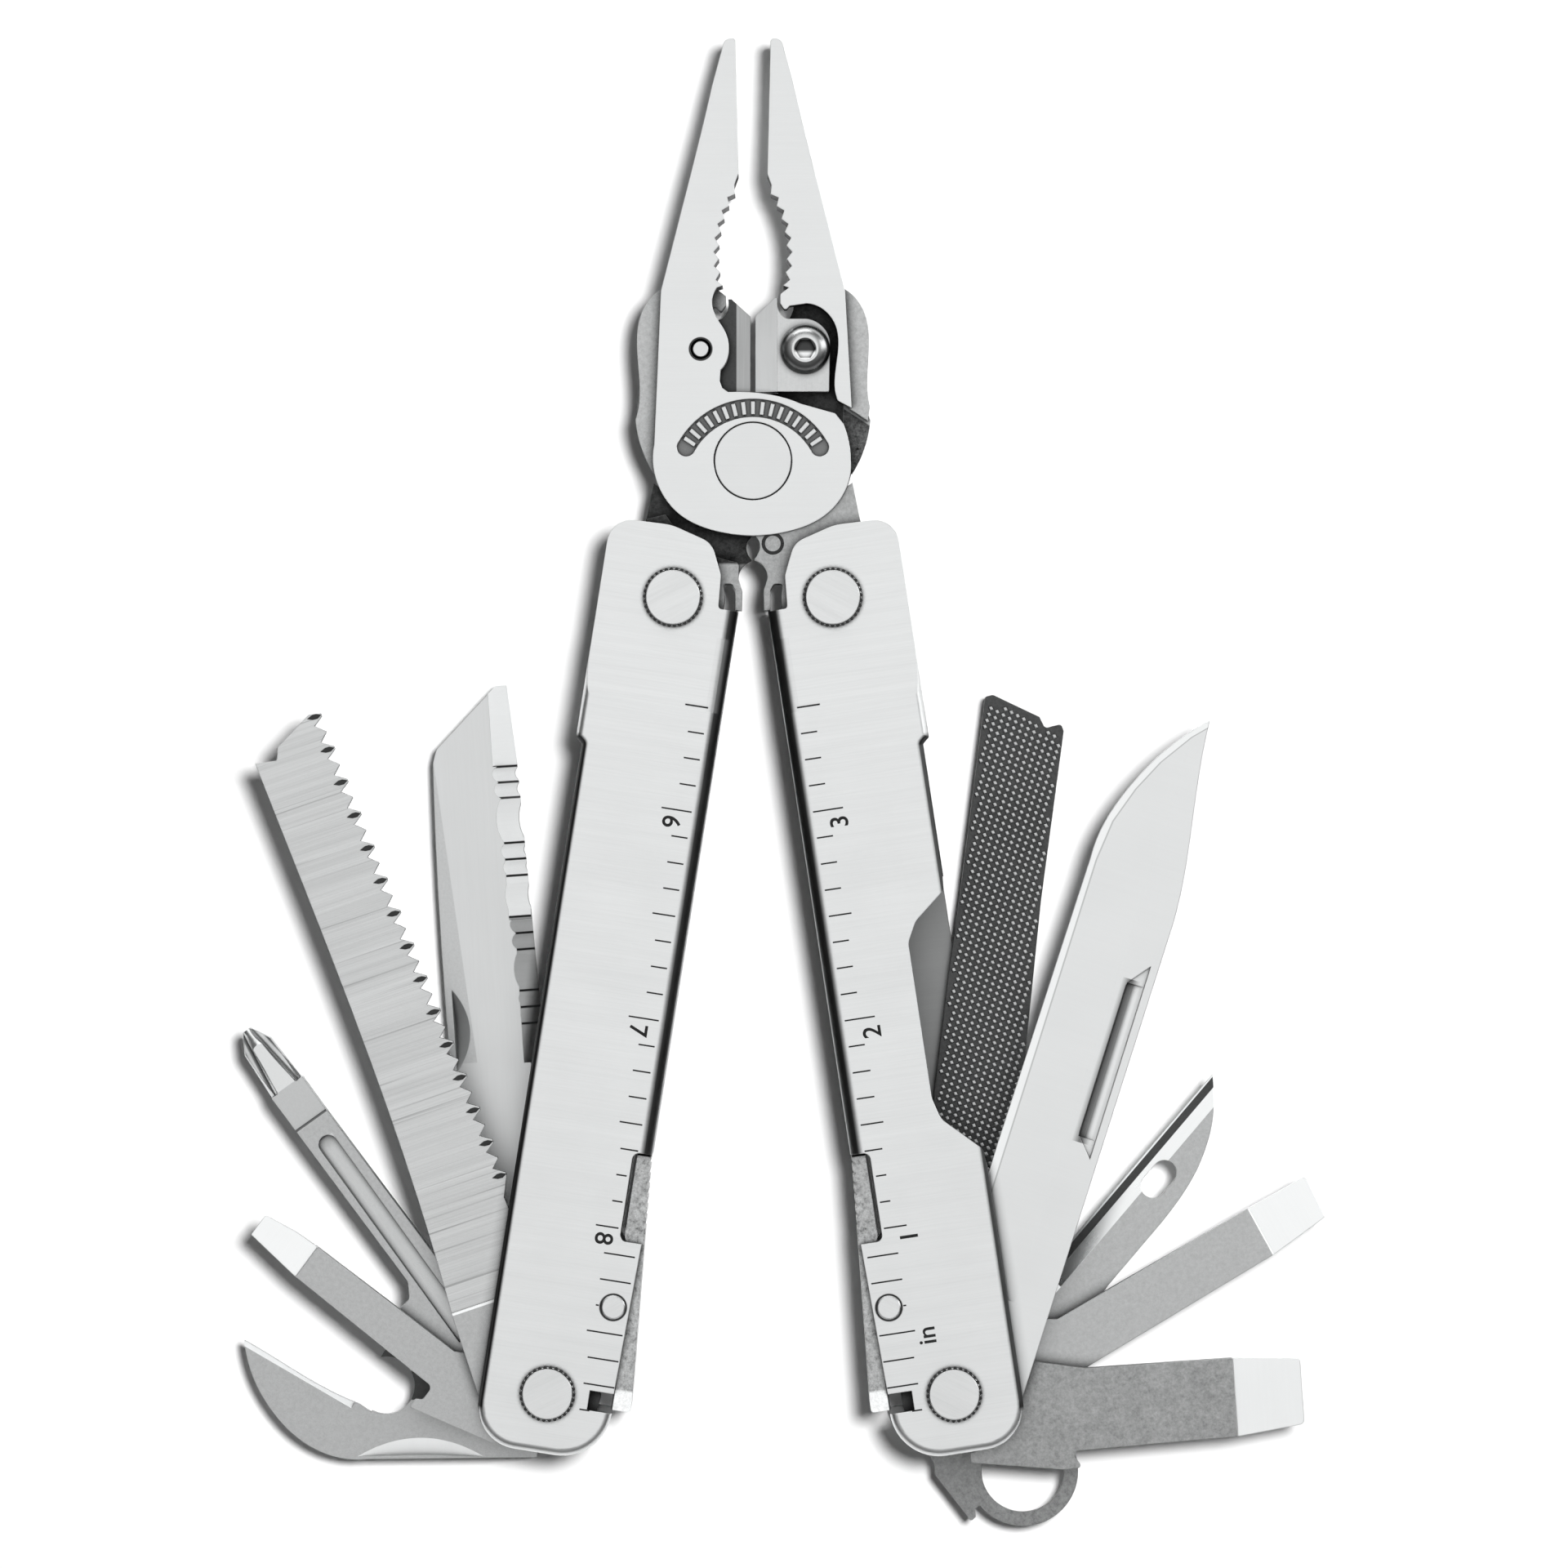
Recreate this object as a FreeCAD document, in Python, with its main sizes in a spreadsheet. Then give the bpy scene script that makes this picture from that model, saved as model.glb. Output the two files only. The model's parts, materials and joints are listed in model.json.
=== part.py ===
import FreeCAD, Part
import Sketcher
import math
import os

# Folding plier multi tool, shown half open with every tool fanned out.
# It lies flat: X to the right, Y toward the plier tips, +Z up out of the front face.
# The origin is on the axis of the main plier pivot, on the front face of its rivet.
# Each piece is first placed about the mid thickness, Z = 0; the last step lowers them all.

VEC = FreeCAD.Vector
UP = VEC(0, 0, 1)
ORIGIN = VEC(0, 0, 0)

doc = FreeCAD.newDocument("MultiTool")
sheet = doc.addObject("Spreadsheet::Sheet", "sizes")

SIZES = {
    "handle_width": 16.4,
    "channel_width": 13.4,
    "neck_width": 13.2,
    "neck_channel_width": 10.2,
    "web_bend": 1.7,
    "rim_round": 0.9,
    "axle_radius": 2.5,
    "axle_head_radius": 3.2,
    "axle_bore_radius": 2.55,
    "axle_seat_radius": 2.52,
    "hinge_radius": 3.0,
    "hinge_head_radius": 3.45,
    "hinge_bore_radius": 3.05,
    "hinge_seat_radius": 3.02,
    "head_height": 1.0,
    "pivot_radius": 4.7,
    "pivot_bore_radius": 4.75,
    "jaw_thickness": 10.0,
    "jaw_half_gap": 0.03,
    "tang_thickness": 9.4,
    "band_thickness": 6.4,
    "tang_radius": 6.3,
    "pin_radius": 1.0,
    "pin_head_radius": 1.5,
    "pin_bore_radius": 1.05,
    "pin_seat_radius": 1.52,
    "rocker_width": 13.2,
    "spring_width": 8.0,
    "washer_radius": 4.2,
    "washer_thickness": 0.24,
    "saw_thickness": 1.8,
    "small_driver_thickness": 2.0,
    "phillips_thickness": 4.0,
    "can_opener_thickness": 2.0,
    "serrated_knife_thickness": 2.0,
    "knife_thickness": 2.4,
    "large_driver_thickness": 2.4,
    "medium_driver_thickness": 1.9,
    "awl_thickness": 1.6,
    "lanyard_ring_thickness": 1.5,
    "file_thickness": 2.2,
    "insert_thickness": 3.9,
    "screw_head_radius": 3.0,
    "screw_radius": 1.2,
    "screw_bore_radius": 1.25,
    "socket_radius": 1.25,
    "handle_hinge_offset": 9.62,
    "handle_hinge_drop": 16.47,
    "axle_to_hinge": 97.0,
    "left_handle_lean": 8.95,
    "right_handle_lean": 8.66,
    "saw_open": 27.7,
    "small_driver_open": 62.4,
    "phillips_open": 44.5,
    "can_opener_open": 99.0,
    "serrated_knife_open": 12.7,
    "knife_open": 26.2,
    "large_driver_open": 94.7,
    "medium_driver_open": 69.9,
    "awl_open": 49.0,
    "lanyard_ring_open": 151.5,
    "file_open": 14.5,
}

for row, (alias, value) in enumerate(SIZES.items(), start=1):
    sheet.set("A%d" % row, alias)
    sheet.set("B%d" % row, str(value))
    sheet.setAlias("B%d" % row, alias)
doc.recompute()

made = []


# ---------------------------------------------------------------- outlines

def arc_at_corner(before, corner, after, radius):
    """Tangent points and the arc that rounds one corner."""
    to_before = (before - corner).normalize()
    to_after = (after - corner).normalize()
    opening = to_before.getAngle(to_after)
    reach = radius / math.tan(opening / 2.0)
    start = corner + to_before * reach
    end = corner + to_after * reach
    middle = (to_before + to_after).normalize()
    centre = corner + middle * (radius / math.sin(opening / 2.0))
    via = centre - middle * radius
    return start, end, Part.Arc(start, via, end)


def outline(items, side=1.0):
    """Closed outline from corners (x, y) or (x, y, radius) and curves.

    A curve is ("arc", (x, y), (x, y)), through the first point to the second one,
    or ("curve", [(x, y), ...]), a smooth line through all its points.
    """
    def point(pair):
        return VEC(pair[0], side * pair[1], 0)

    stations = []
    for item in items:
        if item[0] == "arc":
            stations.append(("arc", point(item[1]), point(item[2])))
        elif item[0] == "curve":
            stations.append(("curve", [point(pair) for pair in item[1]]))
        else:
            radius = item[2] if len(item) > 2 else 0.0
            stations.append(("corner", point(item), radius))

    def end_of(station):
        return station[2] if station[0] == "arc" else (
            station[1][-1] if station[0] == "curve" else station[1])

    pieces = []
    count = len(stations)
    exits = [None] * count
    entries = [None] * count
    for index, station in enumerate(stations):
        exits[index] = end_of(station)
        entries[index] = end_of(station)
        if station[0] != "corner" or station[2] == 0.0:
            continue
        before = end_of(stations[index - 1])
        after = stations[(index + 1) % count][1]
        start, end, arc = arc_at_corner(before, station[1], after, station[2])
        entries[index] = start
        exits[index] = end
        pieces.append(arc)
    for index, station in enumerate(stations):
        start = exits[index - 1]
        if station[0] == "corner":
            if (entries[index] - start).Length > 1e-6:
                pieces.append(Part.LineSegment(start, entries[index]))
        elif station[0] == "arc":
            pieces.append(Part.Arc(start, station[1], station[2]))
        else:
            spline = Part.BSplineCurve()
            spline.interpolate([start] + station[1])
            pieces.append(spline)
    return pieces


def polar(centre, radius, degrees):
    angle = math.radians(degrees)
    return (centre[0] + radius * math.cos(angle), centre[1] + radius * math.sin(angle))


# ---------------------------------------------------------------- features

def new_body(label):
    body = doc.addObject("PartDesign::Body", label)
    body.Label = label
    made.append(body)
    return body


def sketch(body, name, plane, level=0.0, curves=(), circles=()):
    """Sketch on an origin plane of the body, moved along its normal by level.

    circles holds (x, y, alias): the radius is driven by the sheet.
    """
    sk = body.newObject("Sketcher::SketchObject", name)
    origin_plane = [o for o in body.Origin.OriginFeatures if o.Role == plane][0]
    sk.AttachmentSupport = [(origin_plane, "")]
    sk.MapMode = "FlatFace"
    sk.AttachmentOffset = FreeCAD.Placement(VEC(0, 0, level), FreeCAD.Rotation())
    for curve in curves:
        sk.addGeometry(curve, False)
    for x, y, alias in circles:
        index = sk.addGeometry(Part.Circle(VEC(x, y, 0), UP, SIZES[alias]), False)
        number = sk.addConstraint(Sketcher.Constraint("Radius", index, SIZES[alias]))
        sk.setExpression("Constraints[%d]" % number, "sizes.%s" % alias)
    return sk


def extrude(body, kind, name, profile, length, symmetric=True):
    """Pad or pocket; length is a number or an expression on the sheet."""
    feature = body.newObject("PartDesign::%s" % kind, name)
    feature.Profile = profile
    if isinstance(length, str):
        feature.Length = 1.0
        feature.setExpression("Length", length)
    else:
        feature.Length = length
    feature.SideType = "Symmetric" if symmetric else "One side"
    profile.Visibility = False
    body.Tip = feature
    return feature


def pad(body, name, curves, length, level=0.0, symmetric=True, circles=()):
    profile = sketch(body, name + "_sketch", "XY_Plane", level, curves, circles)
    return extrude(body, "Pad", name, profile, length, symmetric)


def cut(body, name, curves, length, plane="XY_Plane", level=0.0, symmetric=True, circles=()):
    profile = sketch(body, name + "_sketch", plane, level, curves, circles)
    return extrude(body, "Pocket", name, profile, length, symmetric)


def bore(body, name, x, y, alias):
    return cut(body, name, (), 60.0, circles=[(x, y, alias)])


def turned(body, name, corners):
    """Solid of revolution about the body's Z axis from (radius, height) corners."""
    profile = sketch(body, name + "_sketch", "XZ_Plane", 0.0, outline(corners))
    feature = body.newObject("PartDesign::Revolution", name)
    feature.Profile = profile
    feature.ReferenceAxis = (profile, ["V_Axis"])
    feature.Angle = 360.0
    profile.Visibility = False
    body.Tip = feature
    return feature


def tilted_cutter(body, name, radius, length, base, direction):
    """Round cutter whose axis runs from base along direction."""
    cutter = body.newObject("PartDesign::SubtractiveCylinder", name)
    cutter.Radius = radius
    cutter.Height = length
    cutter.Angle = 360.0
    cutter.MapMode = "Deactivated"
    cutter.Placement = FreeCAD.Placement(base, FreeCAD.Rotation(UP, direction))
    body.Tip = cutter
    return cutter


def add_cone(body, name, start_radius, end_radius, base, span):
    """Solid cone frustum from base along span."""
    cone = body.newObject("PartDesign::AdditiveCone", name)
    cone.Radius1 = start_radius
    cone.Radius2 = end_radius
    cone.Height = span.Length
    cone.Angle = 360.0
    cone.MapMode = "Deactivated"
    cone.Placement = FreeCAD.Placement(base, FreeCAD.Rotation(UP, span))
    body.Tip = cone
    return cone


def nail_nick(body, side, middle, wall, length, width, depth, face):
    """Crescent nick on the front face: steep wall at y = wall, floor rising toward the edge."""
    slope = math.atan2(depth, width)
    radius = (length * length / 4.0 + depth * depth) / (2.0 * depth)
    axis = VEC(0, -side * math.cos(slope), math.sin(slope))
    across = VEC(0, side * math.sin(slope), math.cos(slope))
    deepest = VEC(middle, side * wall, face - depth)
    tilted_cutter(body, "nail_nick", radius, 12.0, deepest + across * radius, axis)


def round_edges(body, name, alias, wanted):
    """Fillet on every edge whose bounding box passes the test."""
    doc.recompute()
    names = []
    for index, edge in enumerate(body.Shape.Edges, start=1):
        if wanted(edge.BoundBox):
            names.append("Edge%d" % index)
    base = body.Tip
    fillet = body.newObject("PartDesign::Fillet", name)
    fillet.Base = (base, names)
    fillet.setExpression("Radius", "sizes.%s" % alias)
    body.Tip = fillet


def place(body, x, y, z, degrees):
    body.Placement = FreeCAD.Placement(VEC(x, y, z), FreeCAD.Rotation(UP, degrees))


# ---------------------------------------------------------------- stations

def handle_angle(side):
    """World angle of a handle's long axis, from its tool axle to its jaw hinge."""
    if side > 0:
        return 90.0 - SIZES["left_handle_lean"]
    return 90.0 + SIZES["right_handle_lean"]


def hinge_point(side):
    return VEC(-side * SIZES["handle_hinge_offset"], -SIZES["handle_hinge_drop"], 0)


def axle_point(side):
    angle = math.radians(handle_angle(side))
    reach = SIZES["axle_to_hinge"]
    return hinge_point(side) - VEC(math.cos(angle), math.sin(angle), 0) * reach


def place_on_handle(body, side, z=0.0):
    point = axle_point(side)
    place(body, point.x, point.y, z, handle_angle(side))


END_GAP = 0.04
LAYERS = {
    1.0: ["saw", "small_driver", "phillips", "can_opener", "serrated_knife"],
    -1.0: ["knife", "large_driver", "medium_driver", "awl", "lanyard_ring", "file"],
}


def layer_gap(side):
    names = LAYERS[side]
    stack = sum(SIZES[name + "_thickness"] for name in names)
    return (SIZES["channel_width"] - stack - 2.0 * END_GAP) / (len(names) - 1)


def layer_middle(side, wanted):
    """Height of the middle of one tool in the stack on its axle."""
    top = SIZES["channel_width"] / 2.0 - END_GAP
    for name in LAYERS[side]:
        thickness = SIZES[name + "_thickness"]
        if name == wanted:
            return top - thickness / 2.0
        top -= thickness + layer_gap(side)


def new_tool(label, name, side, shape):
    """Blank of a tool: its outline and the round tang end, bored for the axle."""
    body = new_body(label)
    thickness = "sizes.%s_thickness" % name
    pad(body, name + "_blank", outline(shape, side), thickness)
    pad(body, name + "_tang", (), thickness, circles=[(0, 0, "tang_radius")])
    doc.recompute()
    return body


def finish_tool(body, name, side):
    bore(body, name + "_bore", 0, 0, "axle_bore_radius")
    point = axle_point(side)
    angle = handle_angle(side) + side * SIZES[name + "_open"]
    place(body, point.x, point.y, layer_middle(side, name), angle)
    return body


def wedge_cut(body, name, plane, corners, level, length):
    """The same wedge taken off the front and the back face."""
    for mirror, word in ((1.0, "front"), (-1.0, "back")):
        mirrored = [(u, mirror * v) for u, v in corners]
        cut(body, "%s_%s" % (name, word), outline(mirrored), length, plane, level)


# ---------------------------------------------------------------- handles

def make_handle(label, side):
    """Folded sheet channel: two side walls joined by the web on the inner side."""
    body = new_body(label)
    shape = [
        (-7.2, 8.1, 5.2), (-7.2, -8.0, 6.0), (-1.2, -8.0), (-1.2, -5.0), (1.2, -5.0),
        (1.2, -7.9), (19.5, -8.4), (19.5, -5.7, 0.8), (30.3, -5.7, 0.8), (30.3, -8.0),
        (96.5, -8.0), (96.5, -5.6, 0.4), (100.5, -5.3, 2.0),
        (104.2, -3.6, 2.6), (105.6, 1.5, 6.0), (105.4, 8.9, 3.0), (78.6, 8.9, 0.3),
        (77.9, 8.1, 0.3),
    ]
    pad(body, "blank", outline(shape, side), "sizes.handle_width")
    outer = SIZES["handle_width"] / 2.0
    neck = SIZES["neck_width"] / 2.0
    for mirror, word in ((1.0, "front"), (-1.0, "back")):
        joggle = [(84.0, mirror * outer), (93.0, mirror * neck), (130.0, mirror * neck),
                  (130.0, mirror * 20.0), (84.0, mirror * 20.0)]
        cut(body, "joggle_" + word, outline(joggle), 60.0, "XZ_Plane")

    def on_web(box):
        low = side * box.Center.y < -7.9 and box.XMin > 30.0 and box.XMax < 97.0
        return low and box.XLength > 3.0 and box.ZLength < 3.0

    def on_rim(box):
        return side * box.Center.y > 8.0 and box.XLength > 60.0

    round_edges(body, "web_bends", "web_bend", on_web)
    round_edges(body, "rim", "rim_round", on_rim)
    channel = [(-20, -20), (30.3, -20), (30.3, -6.5), (87.0, -6.5), (87.0, 20), (-20, 20)]
    cut(body, "channel", outline(channel, side), "sizes.channel_width")
    neck_channel = [(80, -6.5), (130, -6.5), (130, 20), (80, 20)]
    cut(body, "neck_channel", outline(neck_channel, side), "sizes.neck_channel_width")
    wide = SIZES["channel_width"] / 2.0
    slim = SIZES["neck_channel_width"] / 2.0
    ramp = [(87.0, wide), (94.0, slim), (94.0, -slim), (87.0, -wide), (86.0, -wide), (86.0, wide)]
    cut(body, "ramp", outline(ramp), 27.0, "XZ_Plane", -side * 7.0)
    if side < 0:
        access = [(27.0, 8.0), (28.6, 7.9, 1.0), (33.0, 3.4, 2.5), (35.6, 2.7, 2.0),
                  (54.5, 2.7, 2.0), (57.0, 4.0, 2.5), (60.2, 7.9, 1.0), (61.8, 8.0),
                  (61.8, 12.0), (27.0, 12.0)]
        cut(body, "nail_access", outline(access, side), 3.0, level=9.0, symmetric=False)
    bore(body, "axle_hole", 0, 0, "axle_seat_radius")
    bore(body, "hinge_hole", SIZES["axle_to_hinge"], 0, "hinge_seat_radius")
    bore(body, "pin_hole", 11.5, -side * 6.2, "pin_seat_radius")
    place_on_handle(body, side)


def make_rivet(label, side, station, half_grip, shank, head):
    """Round rivet with a flat head on each outer wall."""
    body = new_body(label)
    top = half_grip + SIZES["head_height"]
    corners = [(0, -top), (head - 0.25, -top), (head, -top + 0.25), (head, -half_grip),
               (shank, -half_grip), (shank, half_grip), (head, half_grip),
               (head, top - 0.25), (head - 0.25, top), (0, top)]
    turned(body, "rivet", corners)
    point = axle_point(side) if station == "axle" else hinge_point(side)
    place(body, point.x, point.y, 0.0, 0.0)


def make_rocker(label, side):
    """Lock rocker: a wide lever on a pin, tab at one end and grooved pad at the other."""
    body = new_body(label)
    shape = [(-0.8, -7.8, 0.2), (1.3, -7.8), (1.7, -7.5), (4.0, -7.2), (8.5, -6.8),
             (9.9, -6.2), (11.5, -6.2), (13.1, -6.2), (15.0, -6.8), (19.0, -6.6), (20.2, -6.2),
             (30.0, -6.2), (30.0, -7.9)]
    step = 1.25
    for number in range(7):
        right = 29.6 - number * step
        drop = -7.93 - (29.6 - right) * 0.075
        shape.append((right, drop))
        shape.append((right - 0.35, drop + 0.35))
        shape.append((right - 0.7, drop - 0.05))
    shape += [(18.0, -8.8), (0.2, -10.2, 0.4), (-0.8, -10.2, 0.4)]
    pad(body, "lever", outline(shape, side), "sizes.rocker_width")
    boss = Part.Circle(VEC(11.5, -side * 6.2, 0), UP, 1.7)
    pad(body, "boss", [boss], "sizes.rocker_width")
    bore(body, "pin_bore", 11.5, -side * 6.2, "pin_bore_radius")
    place_on_handle(body, side)


def make_pin(label, side):
    body = new_body(label)
    slim = SIZES["pin_radius"]
    wide = SIZES["pin_head_radius"]
    step = SIZES["channel_width"] / 2.0
    top = SIZES["handle_width"] / 2.0 + 0.15
    corners = [(0, -top), (wide - 0.2, -top), (wide, -top + 0.2), (wide, -step), (slim, -step),
               (slim, step), (wide, step), (wide, top - 0.2), (wide - 0.2, top), (0, top)]
    turned(body, "pin", corners)
    angle = math.radians(handle_angle(side))
    along = VEC(math.cos(angle), math.sin(angle), 0)
    outward = VEC(-math.sin(angle), math.cos(angle), 0) * side
    point = axle_point(side) + along * 11.5 - outward * 6.2
    place(body, point.x, point.y, 0.0, 0.0)


def make_spring(label, side):
    """Leaf lying on the inside of the web, its free end under the rocker pad."""
    body = new_body(label)
    shape = [(21.0, -5.87), (30.0, -5.95), (33.0, -6.2), (46.0, -6.2), (46.0, -6.48),
             (32.6, -6.48), (29.6, -6.16), (21.0, -6.13)]
    pad(body, "leaf", outline(shape, side), "sizes.spring_width")
    place_on_handle(body, side)


def make_spacers(label, side):
    """Thin washers between the tools on one axle."""
    solids = []
    names = LAYERS[side]
    thickness = SIZES["washer_thickness"]
    for name in names[1:]:
        over = SIZES[name + "_thickness"] / 2.0 + (layer_gap(side) - thickness) / 2.0
        base = VEC(0, 0, layer_middle(side, name) + over)
        disc = Part.makeCylinder(SIZES["washer_radius"], thickness, base)
        hole = Part.makeCylinder(SIZES["axle_seat_radius"], thickness, base)
        solids.append(disc.cut(hole))
    washers = doc.addObject("Part::Feature", label)
    washers.Label = label
    washers.Shape = Part.makeCompound(solids)
    point = axle_point(side)
    washers.Placement = FreeCAD.Placement(point, FreeCAD.Rotation())
    made.append(washers)


# ---------------------------------------------------------------- plier head

GRIP_CENTRE = (10.75, 24.8)
GRIP_RADIUS = 15.5


def grip_teeth():
    """Pipe grip: eight teeth on a hollow arc, from the nose down to the cutter."""
    points = []
    pitch = 6.3
    for number in range(8):
        angle = 147.0 + number * pitch
        points.append(polar(GRIP_CENTRE, GRIP_RADIUS, angle))
        points.append(polar(GRIP_CENTRE, GRIP_RADIUS - 0.65, angle + pitch * 0.5))
    return points


def nose_outer():
    return [(-2.1, 51.1, 0.4), (-3.4, 51.1, 0.9),
            (-4.9, 45.5), ("curve", [(-6.9, 37.0), (-8.8, 29.5), (-11.1, 20.5)])]


def nose_inner():
    """Inner side of the nose, from the pipe grip up to the tip."""
    return [(-1.75, 34.6), (-2.1, 50.0)]


def make_jaw(label, turn_over):
    """Plier jaw: nose, half-thickness pivot disc and the tang in the opposite handle.

    Drawn as the front jaw (nose on the left, tang on the right); the rear jaw is the
    same piece turned over about the Y axis.
    """
    body = new_body(label)
    face = SIZES["jaw_thickness"] / 2.0
    tang = SIZES["tang_thickness"] / 2.0
    band = SIZES["band_thickness"] / 2.0
    split = SIZES["jaw_half_gap"]
    teeth = grip_teeth()
    up_the_grip = teeth[::-1]
    disc_side = [(-11.9, 2.0), ("curve", [(-11.3, -3.2), (-9.0, -6.3), (-5.0, -8.3), (0, -9.0)])]
    disc_far = [("curve", [(5.0, -8.3), (9.0, -6.3), (11.3, -3.2), (11.8, 0.0)]),
                ("arc", (11.58, 2.3), polar((0, 0), 11.8, 22.4)),
                (9.92, 5.73), (5.79, 6.89),
                ("curve", [(2.85, 7.85), (0.0, 8.25), (-3.0, 8.3)])]
    throat = [(-3.7, 8.8), (-4.0, 9.6), (-3.9, 11.0),
              ("curve", [(-3.2, 12.0), (-2.9, 13.5), (-3.3, 15.5), (-4.2, 17.0), (-4.35, 20.9)])]
    front = nose_outer() + disc_side + disc_far + throat + up_the_grip + nose_inner()
    pad(body, "front_half", outline(front), face - split, split, False)

    pocket_rim = [(-11.9, 6.4), (-10.2, 7.3, 0.6), (-9.9, 8.4),
                  ("curve", [(-10.1, 12.0), (-10.3, 14.6), (-9.9, 16.5), (-8.6, 18.2), (-6.5, 19.0)]),
                  (-4.4, 18.7), (-3.9, 18.1, 0.3), (-3.3, 19.0), (-3.3, 20.1), (-4.35, 20.9)]
    back = nose_outer() + pocket_rim + up_the_grip + nose_inner()
    pad(body, "back_half", outline(back), face + split, -face, False)

    edge_band = [(-10.6, 21.0), ("curve", [(-11.8, 20.3), (-13.3, 18.3), (-13.9, 12.0), (-14.2, 5.0)]),
                 ("curve", [(-13.6, 2.0), (-12.8, 0.0), (-12.0, -1.4)]), (-10.5, -1.0), (-9.5, 10.0)]
    pad(body, "band_front", outline(edge_band), band - split, split, False)
    upper_band = [(-10.6, 21.0), ("curve", [(-11.8, 20.3), (-13.3, 18.3), (-13.9, 12.0), (-14.1, 6.7)]),
                  (-13.9, 4.9), (-11.6, 6.4), (-11.0, 12.0)]
    pad(body, "band_back", outline(upper_band), band + split, -band, False)

    hinge_x = SIZES["handle_hinge_offset"]
    hinge_y = -SIZES["handle_hinge_drop"]
    hinge = (hinge_x, hinge_y)
    tang_end = [polar(hinge, 6.2, 20.0), ("arc", polar(hinge, 6.2, -80.0), polar(hinge, 6.2, 178.0))]
    finger = [(3.6, -14.8, 0.3), (2.5, -14.8, 0.5), (2.1, -15.6), (2.1, -18.0), (1.35, -18.0),
              (1.3, -15.6), (1.75, -14.2), ("curve", [(1.5, -13.0), (0.9, -12.3), (0.15, -11.9)])]
    link = [(10.0, -4.0), (12.0, -2.6), (12.9, -7.0)] + tang_end + finger + [
        ("curve", [(0.65, -11.1), (0.85, -10.2), (0.4, -9.2)]), (-1.0, -7.0)]
    pad(body, "link", outline(link), tang - split, split, False)
    clear = 12.35
    lower_tang = [polar((0, 0), clear, -31.5), (12.9, -7.0)] + tang_end + finger[:-1] + [
        (1.7, -12.6), polar((0, 0), clear, -81.0),
        ("arc", polar((0, 0), clear, -55.0), polar((0, 0), clear, -31.5))]
    pad(body, "lower_tang", outline(lower_tang), tang + split, -tang, False)

    taper = [(34.7, face), (51.4, 2.7), (54.0, 2.7), (54.0, 9.0), (34.7, 9.0)]
    wedge_cut(body, "nose_taper", "YZ_Plane", taper, 0.0, 60.0)
    bore(body, "pivot_bore", 0, 0, "pivot_bore_radius")
    bore(body, "hinge_bore", hinge_x, hinge_y, "hinge_bore_radius")
    bore(body, "screw_bore", -6.3, 13.5, "screw_bore_radius")

    arch_centre = (0.0, -2.8)
    arch = [("arc", polar(arch_centre, 9.2, 158.0), polar(arch_centre, 10.3, 150.0)),
            ("arc", polar(arch_centre, 10.3, 90.0), polar(arch_centre, 10.3, 30.0)),
            ("arc", polar(arch_centre, 9.2, 22.0), polar(arch_centre, 8.1, 30.0)),
            ("arc", polar(arch_centre, 8.1, 90.0), polar(arch_centre, 8.1, 150.0))]
    cut(body, "arch_recess", outline(arch), 0.35, level=face, symmetric=False)
    if turn_over:
        body.Placement = FreeCAD.Placement(ORIGIN, FreeCAD.Rotation(VEC(0, 1, 0), 180.0))


def make_insert(label, turn_over):
    """Replaceable wire cutter: flat plate with a ground bevel down to the middle plane."""
    body = new_body(label)
    shape = [(-0.3, 8.4), (-9.2, 8.4, 0.2), (-9.3, 14.4),
             ("curve", [(-9.0, 15.4), (-8.1, 16.5), (-6.3, 17.2)]), (-4.3, 17.2),
             ("curve", [(-3.6, 17.5), (-3.1, 18.3), (-3.0, 19.7)]), (-2.6, 19.7), (-0.3, 17.6)]
    thick = SIZES["insert_thickness"]
    gap = 0.05
    pad(body, "plate", outline(shape), "sizes.insert_thickness", -gap - thick, False)
    bevel = [(-2.9, -gap - thick), (-0.2, -0.35), (1.0, -0.35), (1.0, -9.0), (-2.9, -9.0)]
    cut(body, "bevel", outline(bevel), 80.0, "XZ_Plane")
    bore(body, "screw_bore", -6.3, 13.5, "screw_bore_radius")
    if turn_over:
        body.Placement = FreeCAD.Placement(ORIGIN, FreeCAD.Rotation(VEC(0, 1, 0), 180.0))


def make_screw(label, turn_over):
    """Button head screw that holds a cutter insert, with a round-cornered hex socket."""
    body = new_body(label)
    head = SIZES["screw_head_radius"]
    shank = SIZES["screw_radius"]
    seat = 0.05 + SIZES["insert_thickness"] + 0.02
    far = SIZES["jaw_thickness"] / 2.0 - 0.1
    top = seat + 1.7
    corners = [(0, -top), (1.6, -top), ("curve", [(2.5, -top + 0.45), (head, -seat - 0.35)]),
               (head, -seat), (shank, -seat), (shank, far - 0.3), (shank - 0.3, far), (0, far)]
    turned(body, "screw", corners)
    hexagon = [polar((0, 0), SIZES["socket_radius"], 60.0 * number) for number in range(6)]
    cut(body, "socket", outline(hexagon), 2.6, level=-top, symmetric=True)
    rotation = FreeCAD.Rotation()
    x = -6.3
    if turn_over:
        rotation = FreeCAD.Rotation(VEC(0, 1, 0), 180.0)
        x = 6.3
    body.Placement = FreeCAD.Placement(VEC(x, 13.5, 0), rotation)


def make_pivot():
    body = new_body("pivot_rivet")
    radius = SIZES["pivot_radius"]
    half = SIZES["jaw_thickness"] / 2.0
    corners = [(0, -half), (radius - 0.15, -half), (radius, -half + 0.15), (radius, half - 0.15),
               (radius - 0.15, half), (0, half)]
    turned(body, "rivet", corners)


# ---------------------------------------------------------------- tools

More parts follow.
